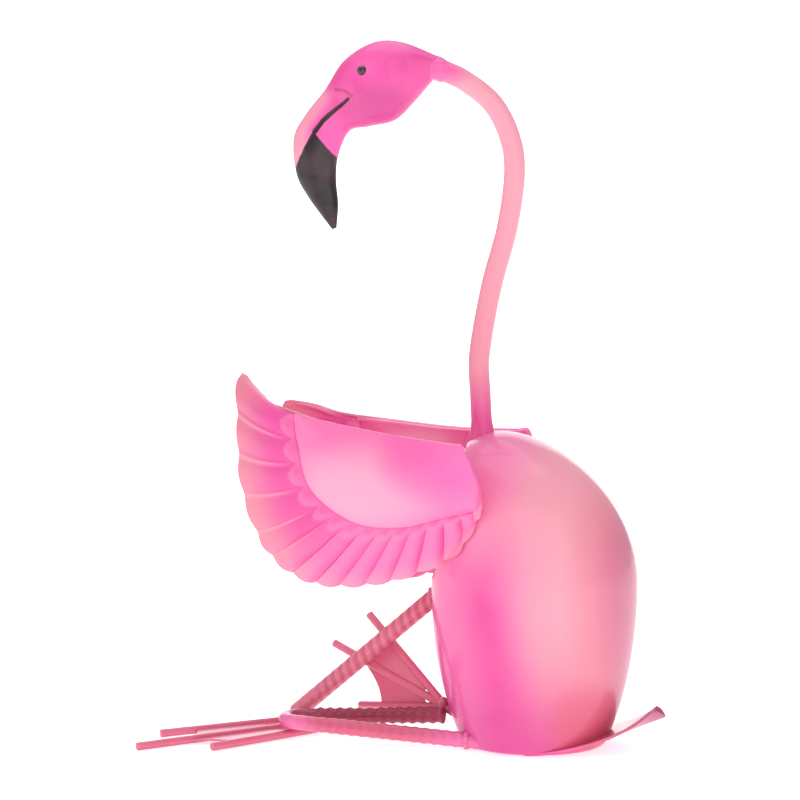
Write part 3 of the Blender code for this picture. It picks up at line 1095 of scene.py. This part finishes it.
@dataclass
class Neck(Piece):
    """The bent tube from the head down to the body, with a weld at each end."""

    diameter: float = 0.0114
    stations: int = 96
    weld_steps: int = 24
    weld_stations: int = 7
    weld_rise: float = 0.0140
    weld_flare: float = 0.0036
    weld_step: float = 0.0001
    sleeve_length: float = 0.0120
    sleeve_rise: float = 0.0010
    head_weld: tuple[Triple, ...] = (
        (0.0150, 0.0, 0.3645), (0.0190, 0.0, 0.3635), (0.0228, 0.0, 0.3623), (0.0264, 0.0, 0.3608),
    )
    line: Pairs = (
        (0.0225, 0.3630), (0.0365, 0.3564), (0.0520, 0.3440), (0.0615, 0.3258), (0.0640, 0.3066),
        (0.0600, 0.2778), (0.0512, 0.2455), (0.0448, 0.2094), (0.0454, 0.1872), (0.0470, 0.1600),
    )

    def build(self, room: bpy.types.Object) -> None:
        """Makes the tube, ends it in the egg's wall and lays the weld beads.

        Args:
            room: The cutter for pieces that end in the egg.
        """
        finish = NeckPaint(self.shift).material()
        line = smooth_line(flat(self.line), self.stations)
        obj = round_bar("neck_pipe", line, lambda *_: self.diameter / 2, 40)
        trim(obj, room)
        self.join(obj, finish, "pink_paint", ["neck_tube"])
        steps = self.weld_steps
        foot = [line[-1].lerp(line[-self.weld_stations], k / steps) for k in range(steps + 1)]
        low = round_bar("neck_base_weld", foot, self.flare, 48)
        trim(low, room)
        self.join(low, finish, "pink_paint")
        joint = smooth_line([Vector(place) for place in self.head_weld], 40)
        high = round_bar("neck_head_weld", joint, self.sleeve, 48)
        self.join(high, finish, "magenta_paint")

    def flare(self, length: float, angle: float) -> float:
        """The radius of the weld at the neck's foot.

        Args:
            length: The height over the weld's lower end.
            angle: The angle round the neck.

        Returns:
            The radius, widest and most lumpy at the bottom.
        """
        left = max(0.0, 1 - length / self.weld_rise)
        lump = 1 + 0.18 * math.sin(angle * 7 + 1) + 0.12 * math.sin(angle * 4 + 2)
        return self.diameter / 2 + self.weld_step + self.weld_flare * left**1.6 * lump

    def sleeve(self, length: float, angle: float) -> float:
        """The radius of the weld at the head.

        Args:
            length: The length along the weld.
            angle: The angle round the neck.

        Returns:
            The radius, fullest and most lumpy in the middle.
        """
        share = min(1.0, length / self.sleeve_length)
        lump = 1 + 0.25 * math.sin(angle * 3 + 1) + 0.30 * math.sin(angle * 5 + share * 5)
        rise = self.sleeve_rise * math.sin(math.pi * share) * lump
        return self.diameter / 2 - self.weld_step + rise


@dataclass
class Head(Piece):
    """The head and bill in one loft, and the two bead eyes."""

    crown: Pairs = (
        (0.0215, 0.3700), (0.0017, 0.3779), (-0.0147, 0.3782), (-0.0313, 0.3688), (-0.0428, 0.3527),
        (-0.0537, 0.3398), (-0.0607, 0.3268), (-0.0591, 0.3071), (-0.0521, 0.2940), (-0.0388, 0.2768),
    )
    throat: Pairs = (
        (0.0185, 0.3572), (0.0079, 0.3456), (-0.0030, 0.3358), (-0.0180, 0.3325), (-0.0290, 0.3300),
        (-0.0354, 0.3168), (-0.0366, 0.3040), (-0.0354, 0.2907), (-0.0362, 0.2778),
    )
    widths: tuple[float, ...] = (
        0.0062, 0.0120, 0.0142, 0.0128, 0.0092, 0.0082, 0.0082, 0.0072, 0.0050, 0.0012,
    )
    stations: int = 110
    sides: int = 64
    eye_diameter: float = 0.0056
    eye: Pair = (-0.0177, 0.3622)
    eye_sunk: float = 0.0008
    beside: float = 0.04

    def half_width(self, share: float) -> float:
        """Half the head's width at a share of its length."""
        place = share * (len(self.widths) - 1)
        low = min(int(place), len(self.widths) - 2)
        part = place - low
        ease = part * part * (3 - 2 * part)
        return self.widths[low] * (1 - ease) + self.widths[low + 1] * ease

    def build(self) -> None:
        """Makes the loft and sets an eye on each side."""
        crown = smooth_line(flat(self.crown), self.stations + 1)
        throat = smooth_line(flat(self.throat), self.stations + 1)

        def place(share: float, turn: float) -> Vector:
            """A point of the head's skin."""
            k = round(share * self.stations)
            centre = (crown[k] + throat[k]) / 2
            rise = (crown[k] - throat[k]) / 2
            angle = 2 * math.pi * turn
            side = Vector((0, self.half_width(share) * math.sin(angle), 0))
            return centre + rise * math.cos(angle) + side

        obj = drape("head_and_bill", self.stations, self.sides, place, closed=True)
        soften(obj, 0.0006, 3, 60.0)
        spots = {}
        for side in SIDE_WORDS:
            start = Vector((self.eye[0], side * self.beside, self.eye[1]))
            spots[side] = obj.ray_cast(start, -side * ACROSS)[1]
        self.join(obj, HeadPaint(self.shift).material(), "magenta_paint", ["head"])
        finish = BeadBlack(self.shift).material()
        for side, spot in spots.items():
            self.eye_bead(side, spot, finish)

    def eye_bead(self, side: int, spot: Vector, finish: bpy.types.Material) -> None:
        """Sets one eye.

        Args:
            side: -1 for the near side, 1 for the far side.
            spot: The place on the head's skin.
            finish: The bead's finish.
        """
        deselect()
        bpy.ops.mesh.primitive_uv_sphere_add(
            segments=40,
            ring_count=24,
            radius=self.eye_diameter / 2,
            location=spot - Vector((0, side * self.eye_sunk, 0)),
        )
        obj = taken("eye_bead_" + SIDE_WORDS[side])
        self.join(obj, finish, "black_paint", ["eye_" + SIDE_WORDS[side]])


@dataclass
class Wing(Piece):
    """One wing: a covert with a ring of feathers, pressed from one sheet."""

    egg: Egg
    side: int
    top: Pairs = (
        (-0.0399, 0.1795), (-0.0213, 0.1758), (0.0043, 0.1713), (0.0255, 0.1684),
        (0.0479, 0.1664), (0.0546, 0.1650), (0.0593, 0.1480), (0.0588, 0.1339),
    )
    covert: Pairs = (
        (-0.0407, 0.1787), (-0.0383, 0.1635), (-0.0310, 0.1398), (-0.0073, 0.1230),
        (0.0177, 0.1211), (0.0386, 0.1262), (0.0574, 0.1308),
    )
    edge: Pairs = (
        (-0.0785, 0.2010), (-0.0812, 0.1935), (-0.0799, 0.1715), (-0.0784, 0.1359), (-0.0665, 0.1043),
        (-0.0436, 0.0887), (-0.0131, 0.0870), (0.0188, 0.0935), (0.0460, 0.1070), (0.0586, 0.1260),
    )
    wall: float = 0.0014
    lip: float = 0.0060
    lip_drop: float = 0.0014
    lip_rows: int = 6
    covert_rows: int = 34
    vane_rows: int = 34
    stations: int = 18
    leading: int = 4
    trailing: int = 10
    leading_share: float = 1.45
    crest: float = 0.0016
    step_share: float = 0.20
    shingle: float = 2.2
    shingle_edge: float = 0.42
    scallop: float = 0.0018
    sag: float = 0.0028
    bulge: float = 0.0035
    ridge: float = 0.0010
    ridge_width: float = 0.07
    groove: float = 0.0010
    groove_place: float = 0.96
    groove_width: float = 0.13
    dent: float = 0.0007
    dent_vane: float = 0.05
    dent_covert: float = 0.06
    band: float = 0.0011
    band_place: float = 0.12
    band_width: float = 0.06
    half_spread: float = 0.060
    front_x: float = -0.011
    front_bend: float = 0.095
    rear_x: float = 0.010
    rear_bend: float = 0.090
    mid_z: float = 0.128
    tip_rise: float = 0.20
    lean: float = 0.22
    rear_flare: float = 0.60
    rear_reach: float = 0.048
    cross_bend: float = 0.130
    body_gap: float = 0.0003
    body_blend: float = 0.002
    weld_place: Pair = (0.0575, 0.1320)
    weld_size: Triple = (0.0024, 0.0018, 0.0062)
    rim_radius: float = 0.0011
    rim_row: int = 3
    rim_front: tuple[float, ...] = (0.97, 0.90, 0.80, 0.70)
    rim_top: tuple[float, ...] = (0.08, 0.14, 0.24, 0.34, 0.44, 0.54, 0.64, 0.71)
    pivot: Pair = (0.080, 0.165)
    droop_x: float = -0.058
    droop_reach: float = 0.020
    pitch: float = 0.0
    droop: float = 0.0

    def spread(self, x: float, z: float) -> float:
        """Half the distance between the wings at a place of the wing's own side view."""
        ahead = max(0.0, self.front_x - x)
        behind = max(0.0, x - self.rear_x)
        above = z - self.mid_z - self.tip_rise * ahead
        lean = self.lean + self.rear_flare * (behind / self.rear_reach) ** 2
        wide = self.half_spread - ahead**2 / (2 * self.front_bend)
        wide -= behind**2 / (2 * self.rear_bend)
        return wide + lean * above - above**2 / (2 * self.cross_bend)

    def bounds(self) -> list[float]:
        """The shares of the outer edge at which one feather ends and the next begins."""
        widths = [self.leading_share] * self.leading + [1.0] * self.trailing
        return [0.0, *itertools.accumulate(width / sum(widths) for width in widths)]

    def set_beside(self, x: float, z: float, push: float) -> Vector:
        """A point of the side view, pitched, drooped and set clear of the body.

        Args:
            x: The drawn x.
            z: The drawn z.
            push: How far the sheet stands out there.

        Returns:
            The point.
        """
        wide = self.spread(x, z) + push
        arm_x, arm_z = x - self.pivot[0], z - self.pivot[1]
        new_x = self.pivot[0] + arm_x * math.cos(self.pitch) - arm_z * math.sin(self.pitch)
        new_z = self.pivot[1] + arm_x * math.sin(self.pitch) + arm_z * math.cos(self.pitch)
        new_z -= self.droop * (max(0.0, self.droop_x - x) / self.droop_reach) ** 2
        body = self.egg.half_width(new_x, new_z, self.body_gap + self.wall)
        wide = (wide + body + math.hypot(wide - body, self.body_blend)) / 2
        return Vector((new_x, self.side * wide, new_z))

    def relief(self, part: float, t: float, share: float) -> float:
        """How far a feather stands out: rounded in front, stepped like shingles below.

        Args:
            part: The place across the feather, 0 to 1.
            t: The place from its root to its tip, 0 to 1.
            share: The place round the wing, 0 at the front to 1 at the rear.

        Returns:
            The height over the sheet.
        """
        stepped = held((share - self.step_share) / self.step_share)
        crown = math.sin(math.pi * part)
        shingle = part * held((1 - part) / self.shingle_edge)
        height = self.crest * (crown * (1 - stepped) + self.shingle * shingle * stepped)
        seam = self.ridge * hump(min(part, 1 - part), 0, self.ridge_width) * (1 - 0.7 * stepped)
        fold = self.groove * hump(part, self.groove_place, self.groove_width) * stepped
        root = self.band * hump(t, self.band_place, self.band_width) * crown
        dent = self.dent * hump(t, 0, self.dent_vane)
        body = (height + seam - fold) * held(t * 4) * (0.8 + 0.2 * t)
        return (body + root) * held(share * 30) - dent * held(share * 12)

    def surface(self) -> tuple[Place, int, int]:
        """The sheet's middle surface.

        Returns:
            The surface, and its columns and rows of faces.
        """
        top, covert, edge = (smooth_line(flat(line), 260) for line in (self.top, self.covert, self.edge))
        centre = along(covert, 0.5)
        ends = self.bounds()
        fan = (len(ends) - 1) * self.stations
        columns = self.lip_rows + fan
        rows = self.lip_rows + self.covert_rows + self.vane_rows
        lines = []
        for k in range(fan + 1):
            feather = min(k // self.stations, len(ends) - 2)
            part = k / self.stations - feather
            share = ends[feather] + (ends[feather + 1] - ends[feather]) * part
            lines.append((share, part, along(top, share), along(covert, share), along(edge, share)))

        def place(u: float, v: float) -> Vector:
            """A point of the sheet."""
            column = round(u * columns) - self.lip_rows
            row = round(v * rows) - self.lip_rows
            share, part, head, root, tip = lines[max(0, column)]
            t = (row - self.covert_rows) / self.vane_rows
            scallop = self.scallop * (math.sin(math.pi * part) - 1)
            tip = tip + (tip - centre).normalized() * scallop
            if t <= 0:
                down = max(0, row) / self.covert_rows
                dent = self.dent * hump(down, 1, self.dent_covert) * held(share * 12)
                push = self.bulge * math.sin(math.pi * down) * held(share * 5) - dent
                drawn = head.lerp(root, down)
            else:
                across = (tip - root).normalized().cross(ACROSS)
                drawn = root.lerp(tip, t) + across * self.sag * 4 * t * (1 - t) * (1 - share)
                push = self.relief(part, t, max(0, column) / fan)
            above = max(0, -row) / self.lip_rows
            before = max(0, -column) / self.lip_rows * (1 - max(0.0, t) ** 2)
            turned = above + before - above * before
            lip = Vector((0, -self.side * self.lip * turned, -self.lip_drop * turned))
            return self.set_beside(drawn.x, drawn.z, push) + lip

        return place, columns, rows

    def build(self) -> None:
        """Makes the wing's sheet, its weld on the body and its rolled edge."""
        word = SIDE_WORDS[self.side]
        place, columns, rows = self.surface()
        obj = drape("wing_sheet_" + word, columns, rows, place)
        thicken(obj, self.wall)
        finish = WingPaint(
            self.shift,
            name="wing_paint_" + word,
            root=(self.lip_rows + self.covert_rows) / rows,
            lip=self.lip_rows / columns,
            feathers=self.leading + self.trailing,
        )
        self.join(obj, finish.material(), "pink_paint", ["wing_" + word], 50.0)
        lump = dab("wing_weld_" + word, self.set_beside(*self.weld_place, 0.0), self.weld_size, 4)
        weld_paint = BodyPaint(self.shift, name="wing_weld_paint_" + word)
        self.join(lump, weld_paint.material(), "pink_paint")
        ahead = (self.lip_rows - self.rim_row) / columns
        above = (self.lip_rows - self.rim_row) / rows
        rim = [place(ahead, v) for v in self.rim_front] + [place(u, above) for u in self.rim_top]
        roll = round_bar("wing_rim_" + word, smooth_line(rim, 140), lambda *_: self.rim_radius, 16)
        rim_paint = WingRimPaint(self.shift, name="wing_rim_paint_" + word)
        self.join(roll, rim_paint.material(), "pink_paint")


@dataclass
class Tail(Piece):
    """A leaf of sheet that starts at the body's foot and rises behind it."""

    start: float = 0.0800
    tip: float = 0.1475
    half: float = 0.0380
    taper: float = 1.7
    fullness: float = 0.75
    rise: float = 0.0175
    power: float = 1.7
    curl: float = 0.0100
    curl_power: int = 6
    spacing: float = 1.5
    last_row: float = 11 / 12
    wall: float = 0.0015
    edge_round: float = 0.0004

    def build(self, room: bpy.types.Object) -> None:
        """Makes the leaf.

        Args:
            room: The cutter for pieces that end in the egg.
        """

        def place(u: float, v: float) -> Vector:
            """A point of the leaf's middle surface."""
            share = 1 - (1 - u) ** self.spacing
            across = 2 * v - 1
            half = self.half * max(0.0, 1 - share**self.taper) ** self.fullness
            lift = self.curl * share**self.curl_power
            lift *= min(1.0, (1 - share) / (1 - self.last_row))
            rise = self.rise * share**self.power + lift * across**2
            x = self.start + (self.tip - self.start) * share
            return Vector((x, half * across, self.wall / 2 + rise))

        obj = drape("tail_leaf", 60, 40, place)
        thicken(obj, self.wall)
        soften(obj, self.edge_round, 2)
        trim(obj, room)
        self.join(obj, TailPaint(self.shift).material(), "pink_paint", ["tail"])


@dataclass
class Legs(Piece):
    """Two ribbed bars: a hairpin on the near side and a straight one on the far side."""

    diameter: float = 0.0088
    step: float = 0.0006
    rib: float = 0.0008
    rib_power: float = 1.2
    near_rib: float = 0.45
    fade: float = 0.004
    seam_width: float = 0.20
    seam_height: float = 0.8
    proud: float = 0.0004
    pitch: float = 0.0058
    slant: float = 0.9
    plain_before: float = 0.012
    plain_after: float = 0.004
    weld_sunk: float = 0.0004
    weld_fat: float = 0.0014
    hip_weld: Triple = (0.0465, -0.0292, 0.0052)
    thigh_weld: Triple = (0.0212, -0.0034, 0.0778)
    hairpin_y: float = -0.0310
    hairpin_bend: float = 0.0099
    hairpin_steps: int = 24
    front: Pair = (-0.0486, 0.0095)
    hip: Triple = (0.0560, -0.0290, 0.0044)
    ankle: Triple = (0.0295, -0.0160, 0.0152)
    thigh_top: Triple = (0.0270, -0.0035, 0.0828)
    thigh_foot: Triple = (-0.0600, -0.0018, 0.0090)

    def hairpin(self) -> list[Vector]:
        """The corners of the near bar's centre line."""
        centre = Vector((self.front[0], self.hairpin_y + self.hairpin_bend, self.front[1]))
        bend = []
        for k in range(self.hairpin_steps + 1):
            angle = math.pi * (1.5 - k / self.hairpin_steps)
            bend.append(centre + Vector((math.cos(angle), math.sin(angle), 0)) * self.hairpin_bend)
        return [Vector(self.hip), *bend, Vector(self.ankle)]

    def ribs(self, standing: Callable[[float], float]) -> Radius:
        """The radius of a ribbed bar.

        Args:
            standing: How much of the rib stands at a length along the bar, 0 to 1.

        Returns:
            The radius at a length and an angle.
        """
        core = self.diameter / 2 + self.proud - self.rib

        def radius(length: float, angle: float) -> float:
            """The radius there."""
            half = 1 if math.sin(angle) >= 0 else -1
            phase = 2 * math.pi * (length / self.pitch + half * self.slant * angle / math.pi)
            wave = (0.5 + 0.5 * math.sin(phase)) ** self.rib_power
            side = abs(math.sin(angle)) ** 0.5
            seam = hump(math.sin(angle), 0, self.seam_width) * self.seam_height
            return core + self.rib * max(wave * side, seam) * standing(length)

        return radius

    def bar(self, name: str, corners: Sequence[Vector], plain: Pair, aside: Vector) -> bpy.types.Object:
        """A ribbed bar along a polyline.

        Args:
            name: The piece's name.
            corners: The polyline.
            plain: The lengths between which the bar has no ribs.
            aside: A direction that is never along the bar.

        Returns:
            The object.
        """
        steps = int(sum(gaps(corners)) / self.step)
        line = [along(corners, k / steps) for k in range(steps + 1)]

        def standing(length: float) -> float:
            """How much of the rib stands there."""
            if plain[1] <= plain[0]:
                return 1.0
            outside = max(plain[0] - length, length - plain[1])
            near = self.near_rib if length < plain[1] else 1.0
            return near * held(outside / self.fade + 0.5)

        return round_bar(name, line, self.ribs(standing), 36, aside)

    def build(self, room: bpy.types.Object) -> None:
        """Makes both bars and the weld that ties each to the body.

        Args:
            room: The cutter for pieces that end in the egg.
        """
        hairpin = self.hairpin()
        thigh = [Vector(self.thigh_top), Vector(self.thigh_foot)]
        reach = (hairpin[1] - hairpin[0]).length
        plain = (reach - self.plain_before, reach + math.pi * self.hairpin_bend + self.plain_after)
        near_look = {"dark": 0.7, "brushed": 0.85, "shaded": 0.85, "rib_shade": 0.3}
        far_look = {"name": "leg_paint_far", "dark": 0.2, "rib_shade": 0.42}
        paints = []
        for name, node, corners, smooth, aside, look in (
            ("hairpin_bar", "leg_left", hairpin, plain, UP, near_look),
            ("straight_bar", "leg_right", thigh, (0.0, 0.0), ACROSS, far_look),
        ):
            obj = self.bar(name, corners, smooth, aside)
            trim(obj, room)
            turns = sum(gaps(corners)) / self.pitch
            paints.append(LegPaint(self.shift, ribs=turns, slant=self.slant, **look).material())
            self.join(obj, paints[-1], "leg_paint", [node], 60.0)
        size = (self.diameter / 2 - self.weld_sunk, self.weld_fat)
        welds = (("hip_weld", self.hip_weld, hairpin), ("thigh_weld", self.thigh_weld, thigh))
        for seed, (name, spot, corners) in enumerate(welds):
            ring = bead(name, Vector(spot), corners[1] - corners[0], size, seed)
            self.join(ring, paints[seed], "leg_paint")


@dataclass
class Foot(Piece):
    """Three toes of rod with a web of sheet between each two."""

    name: str
    words: tuple[str, str, str]
    toes: tuple[tuple[Triple, Triple], ...]
    ankle: Triple
    ankle_size: Triple
    edge_round: float = 0.0005
    web_wall: float = 0.0010
    web_start: float = 0.21
    web_reach: float = 0.74
    web_hollow: float = 0.08

    def web(self, word: str, first: Sequence[Vector], second: Sequence[Vector]) -> bpy.types.Object:
        """The web between two toes, with a hollow front edge.

        Args:
            word: Which web.
            first: One toe's root and tip.
            second: The other toe's root and tip.

        Returns:
            The object.
        """

        def place(u: float, v: float) -> Vector:
            """A point of the web's middle surface."""
            reach = self.web_start + (self.web_reach - self.web_start) * u
            reach *= 1 - self.web_hollow * u * math.sin(math.pi * v) ** 0.8
            return first[0].lerp(first[1], reach).lerp(second[0].lerp(second[1], reach), v)

        obj = drape(f"{self.name}_skin_{word}", 24, 16, place)
        thicken(obj, self.web_wall)
        return obj

    def build(self) -> None:
        """Makes the toes, the webs and the weld that ties them to the leg."""
        finish = LegPaint(self.shift, name=self.name + "_foot_paint", dark=0.5).material()
        ends = [(Vector(root), Vector(tip)) for root, tip in self.toes]
        for word, (root, tip) in zip(self.words, ends):
            toe = rod(f"{self.name}_rod_{word}", root, tip, TOE_DIAMETER / 2)
            soften(toe, self.edge_round, 2)
            self.join(toe, finish, "leg_paint", [f"{self.name}_toe_{word}"])
        for first, second, word in zip(ends, ends[1:], self.words[::2]):
            web = self.web(word, first, second)
            self.join(web, finish, "leg_paint", [f"{self.name}_web_{word}"])
        lump = dab(f"{self.name}_ankle_weld", Vector(self.ankle), self.ankle_size, 2)
        self.join(lump, finish, "leg_paint")


@dataclass
class HindToe(Piece):
    """The short stub behind the raised foot."""

    root: Triple = (0.0300, -0.0100, 0.0175)
    tip: Triple = (0.0450, -0.0170, 0.0110)

    def build(self, room: bpy.types.Object) -> None:
        """Makes the stub and ends it in the egg's wall.

        Args:
            room: The cutter for pieces that end in the egg.
        """
        obj = rod("hind_stub", Vector(self.root), Vector(self.tip), TOE_DIAMETER / 2)
        trim(obj, room)
        finish = LegPaint(self.shift, name="hind_paint", dark=0.6).material()
        self.join(obj, finish, "leg_paint", ["hind_toe"])


# The studio.
@dataclass
class Studio:
    """The pale floor, the soft light and the camera."""

    shift: Vector
    azimuth: float = math.radians(17.0)
    elevation: float = math.radians(4.0)
    distance: float = 1.446
    aim_height: float = 0.18412
    lamp_aim: float = 0.16
    frame_width: float = 0.436
    sensor: float = 36.0
    floor_size: float = 12.0
    floor_drop: float = 0.0004
    floor_glow: float = 0.60
    sheet_distance: float = 1.8
    sheet_size: float = 1.6
    sheet_glow: float = 1.0
    ambient: float = 0.44
    white: Colour = (1.0, 1.0, 1.0)
    greys: tuple[Colour, Colour] = ((0.90, 0.90, 0.90), (0.94, 0.94, 0.94))

    def whiten(self, obj: bpy.types.Object, name: str, rough: Pair, glow: float) -> None:
        """Gives a sheet of the studio its glowing white, and stages it.

        Args:
            obj: The sheet.
            name: Its material's name.
            rough: Its roughness, and how much the grain adds to it.
            glow: How strongly it glows.
        """
        graph = Graph(name)
        grain = graph.noise(3.0)
        graph.finish(graph.mix(grain, *self.greys), grain * rough[1] + rough[0])
        graph.shade({"Emission Color": self.white, "Emission Strength": glow})
        obj.data.materials.append(graph.material)

    def floor(self) -> None:
        """Lays the floor."""
        deselect()
        bpy.ops.mesh.primitive_plane_add(size=self.floor_size, location=(0, 0, -self.floor_drop))
        self.whiten(taken("studio_floor"), "studio_white", (0.6, 0.1), self.floor_glow)

    def backdrop(self) -> None:
        """Hangs a bright sheet behind the bird, no wider than the view needs."""
        away = Vector((-math.sin(self.azimuth), math.cos(self.azimuth), 0)) * self.sheet_distance
        deselect()
        bpy.ops.mesh.primitive_plane_add(size=self.sheet_size)
        obj = taken("studio_backdrop")
        obj.rotation_euler = (math.pi / 2, 0, self.azimuth)
        obj.location = away + UP * (self.sheet_size / 2 - 0.01)
        self.whiten(obj, "backdrop_white", (0.8, 0.0), self.sheet_glow)

    def lamp(self, name: str, place: Vector, size: Pair, power: float) -> None:
        """Hangs a softbox that looks at the bird.

        Args:
            name: Its name.
            place: Where it hangs.
            size: Its width and height.
            power: Its power in watts.
        """
        deselect()
        bpy.ops.object.light_add(type="AREA", location=place)
        lamp = bpy.context.active_object
        lamp.name = name
        lamp.data.shape = "RECTANGLE"
        lamp.data.size, lamp.data.size_y = size
        lamp.data.energy = power
        lamp.rotation_euler = (UP * self.lamp_aim - place).to_track_quat("-Z", "Y").to_euler()

    def light(self) -> None:
        """Sets the world and the lamps."""
        world = bpy.data.worlds.new("studio")
        bpy.context.scene.world = world
        world.use_nodes = True
        back = world.node_tree.nodes["Background"]
        back.inputs["Color"].default_value = (*self.white, 1.0)
        back.inputs["Strength"].default_value = self.ambient
        self.lamp("key_softbox", Vector((1.5, -2.3, 1.2)), (3.2, 3.0), 25.0)
        self.lamp("left_softbox", Vector((-2.2, -1.6, 1.0)), (1.6, 2.0), 8.5)
        self.lamp("top_softbox", Vector((-0.3, 0.2, 2.4)), (2.2, 2.2), 19.0)

    def camera(self) -> None:
        """Sets the camera at the photograph's view."""
        level = math.cos(self.elevation)
        back = Vector(
            (math.sin(self.azimuth) * level, -math.cos(self.azimuth) * level, math.sin(self.elevation))
        )
        aim = UP * self.aim_height + self.shift
        deselect()
        bpy.ops.object.camera_add(location=aim + back * self.distance)
        camera = bpy.context.active_object
        camera.rotation_euler = (-back).to_track_quat("-Z", "Y").to_euler()
        camera.data.sensor_width = self.sensor
        camera.data.lens = self.sensor * self.distance / self.frame_width
        bpy.context.scene.camera = camera

    def build(self) -> None:
        """Sets up the studio."""
        self.floor()
        self.backdrop()
        self.light()
        self.camera()
        bpy.context.scene.view_settings.view_transform = "Standard"


def main() -> None:
    """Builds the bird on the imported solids, then the studio round it."""
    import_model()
    low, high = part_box("body_shell")
    egg_middle = (low + high) / 2
    shift = Vector((egg_middle.x - Egg(Vector()).middle, egg_middle.y, 0))
    LOG.info("shift %s", tuple(round(value, 5) for value in shift))
    egg = Egg(shift)
    egg.build()
    room = egg.room()
    Neck(shift).build(room)
    Head(shift).build()
    Wing(shift, egg, -1).build()
    Wing(shift, egg, 1, pitch=math.radians(4.3), droop=0.0090).build()
    Tail(shift).build(room)
    Legs(shift).build(room)
    front = (
        ((-0.0440, -0.0080, 0.0022), (-0.0821, -0.0736, 0.0022)),
        ((-0.0590, -0.0030, 0.0022), (-0.1207, -0.0843, 0.0022)),
        ((-0.0640, 0.0030, 0.0040), (-0.1223, -0.0474, 0.0022)),
    )
    front_ankle = ((-0.0590, -0.0018, 0.0056), (0.0085, 0.0062, 0.0040))
    Foot(shift, "front", ("near", "middle", "far"), front, *front_ankle).build()
    root = (0.0285, -0.0088, 0.0185)
    tips = ((-0.0216, 0.0120, 0.0639), (-0.0420, 0.0120, 0.0468), (-0.0269, 0.0120, 0.0127))
    back = tuple((root, tip) for tip in tips)
    back_ankle = ((0.0270, -0.0080, 0.0190), (0.0046, 0.0034, 0.0038))
    Foot(shift, "back", ("upper", "middle", "lower"), back, *back_ankle).build()
    HindToe(shift).build(room)
    bpy.data.objects.remove(room, do_unlink=True)
    Studio(shift).build()


if __name__ == "__main__":
    logging.basicConfig(level=logging.INFO, format="%(message)s")
    main()
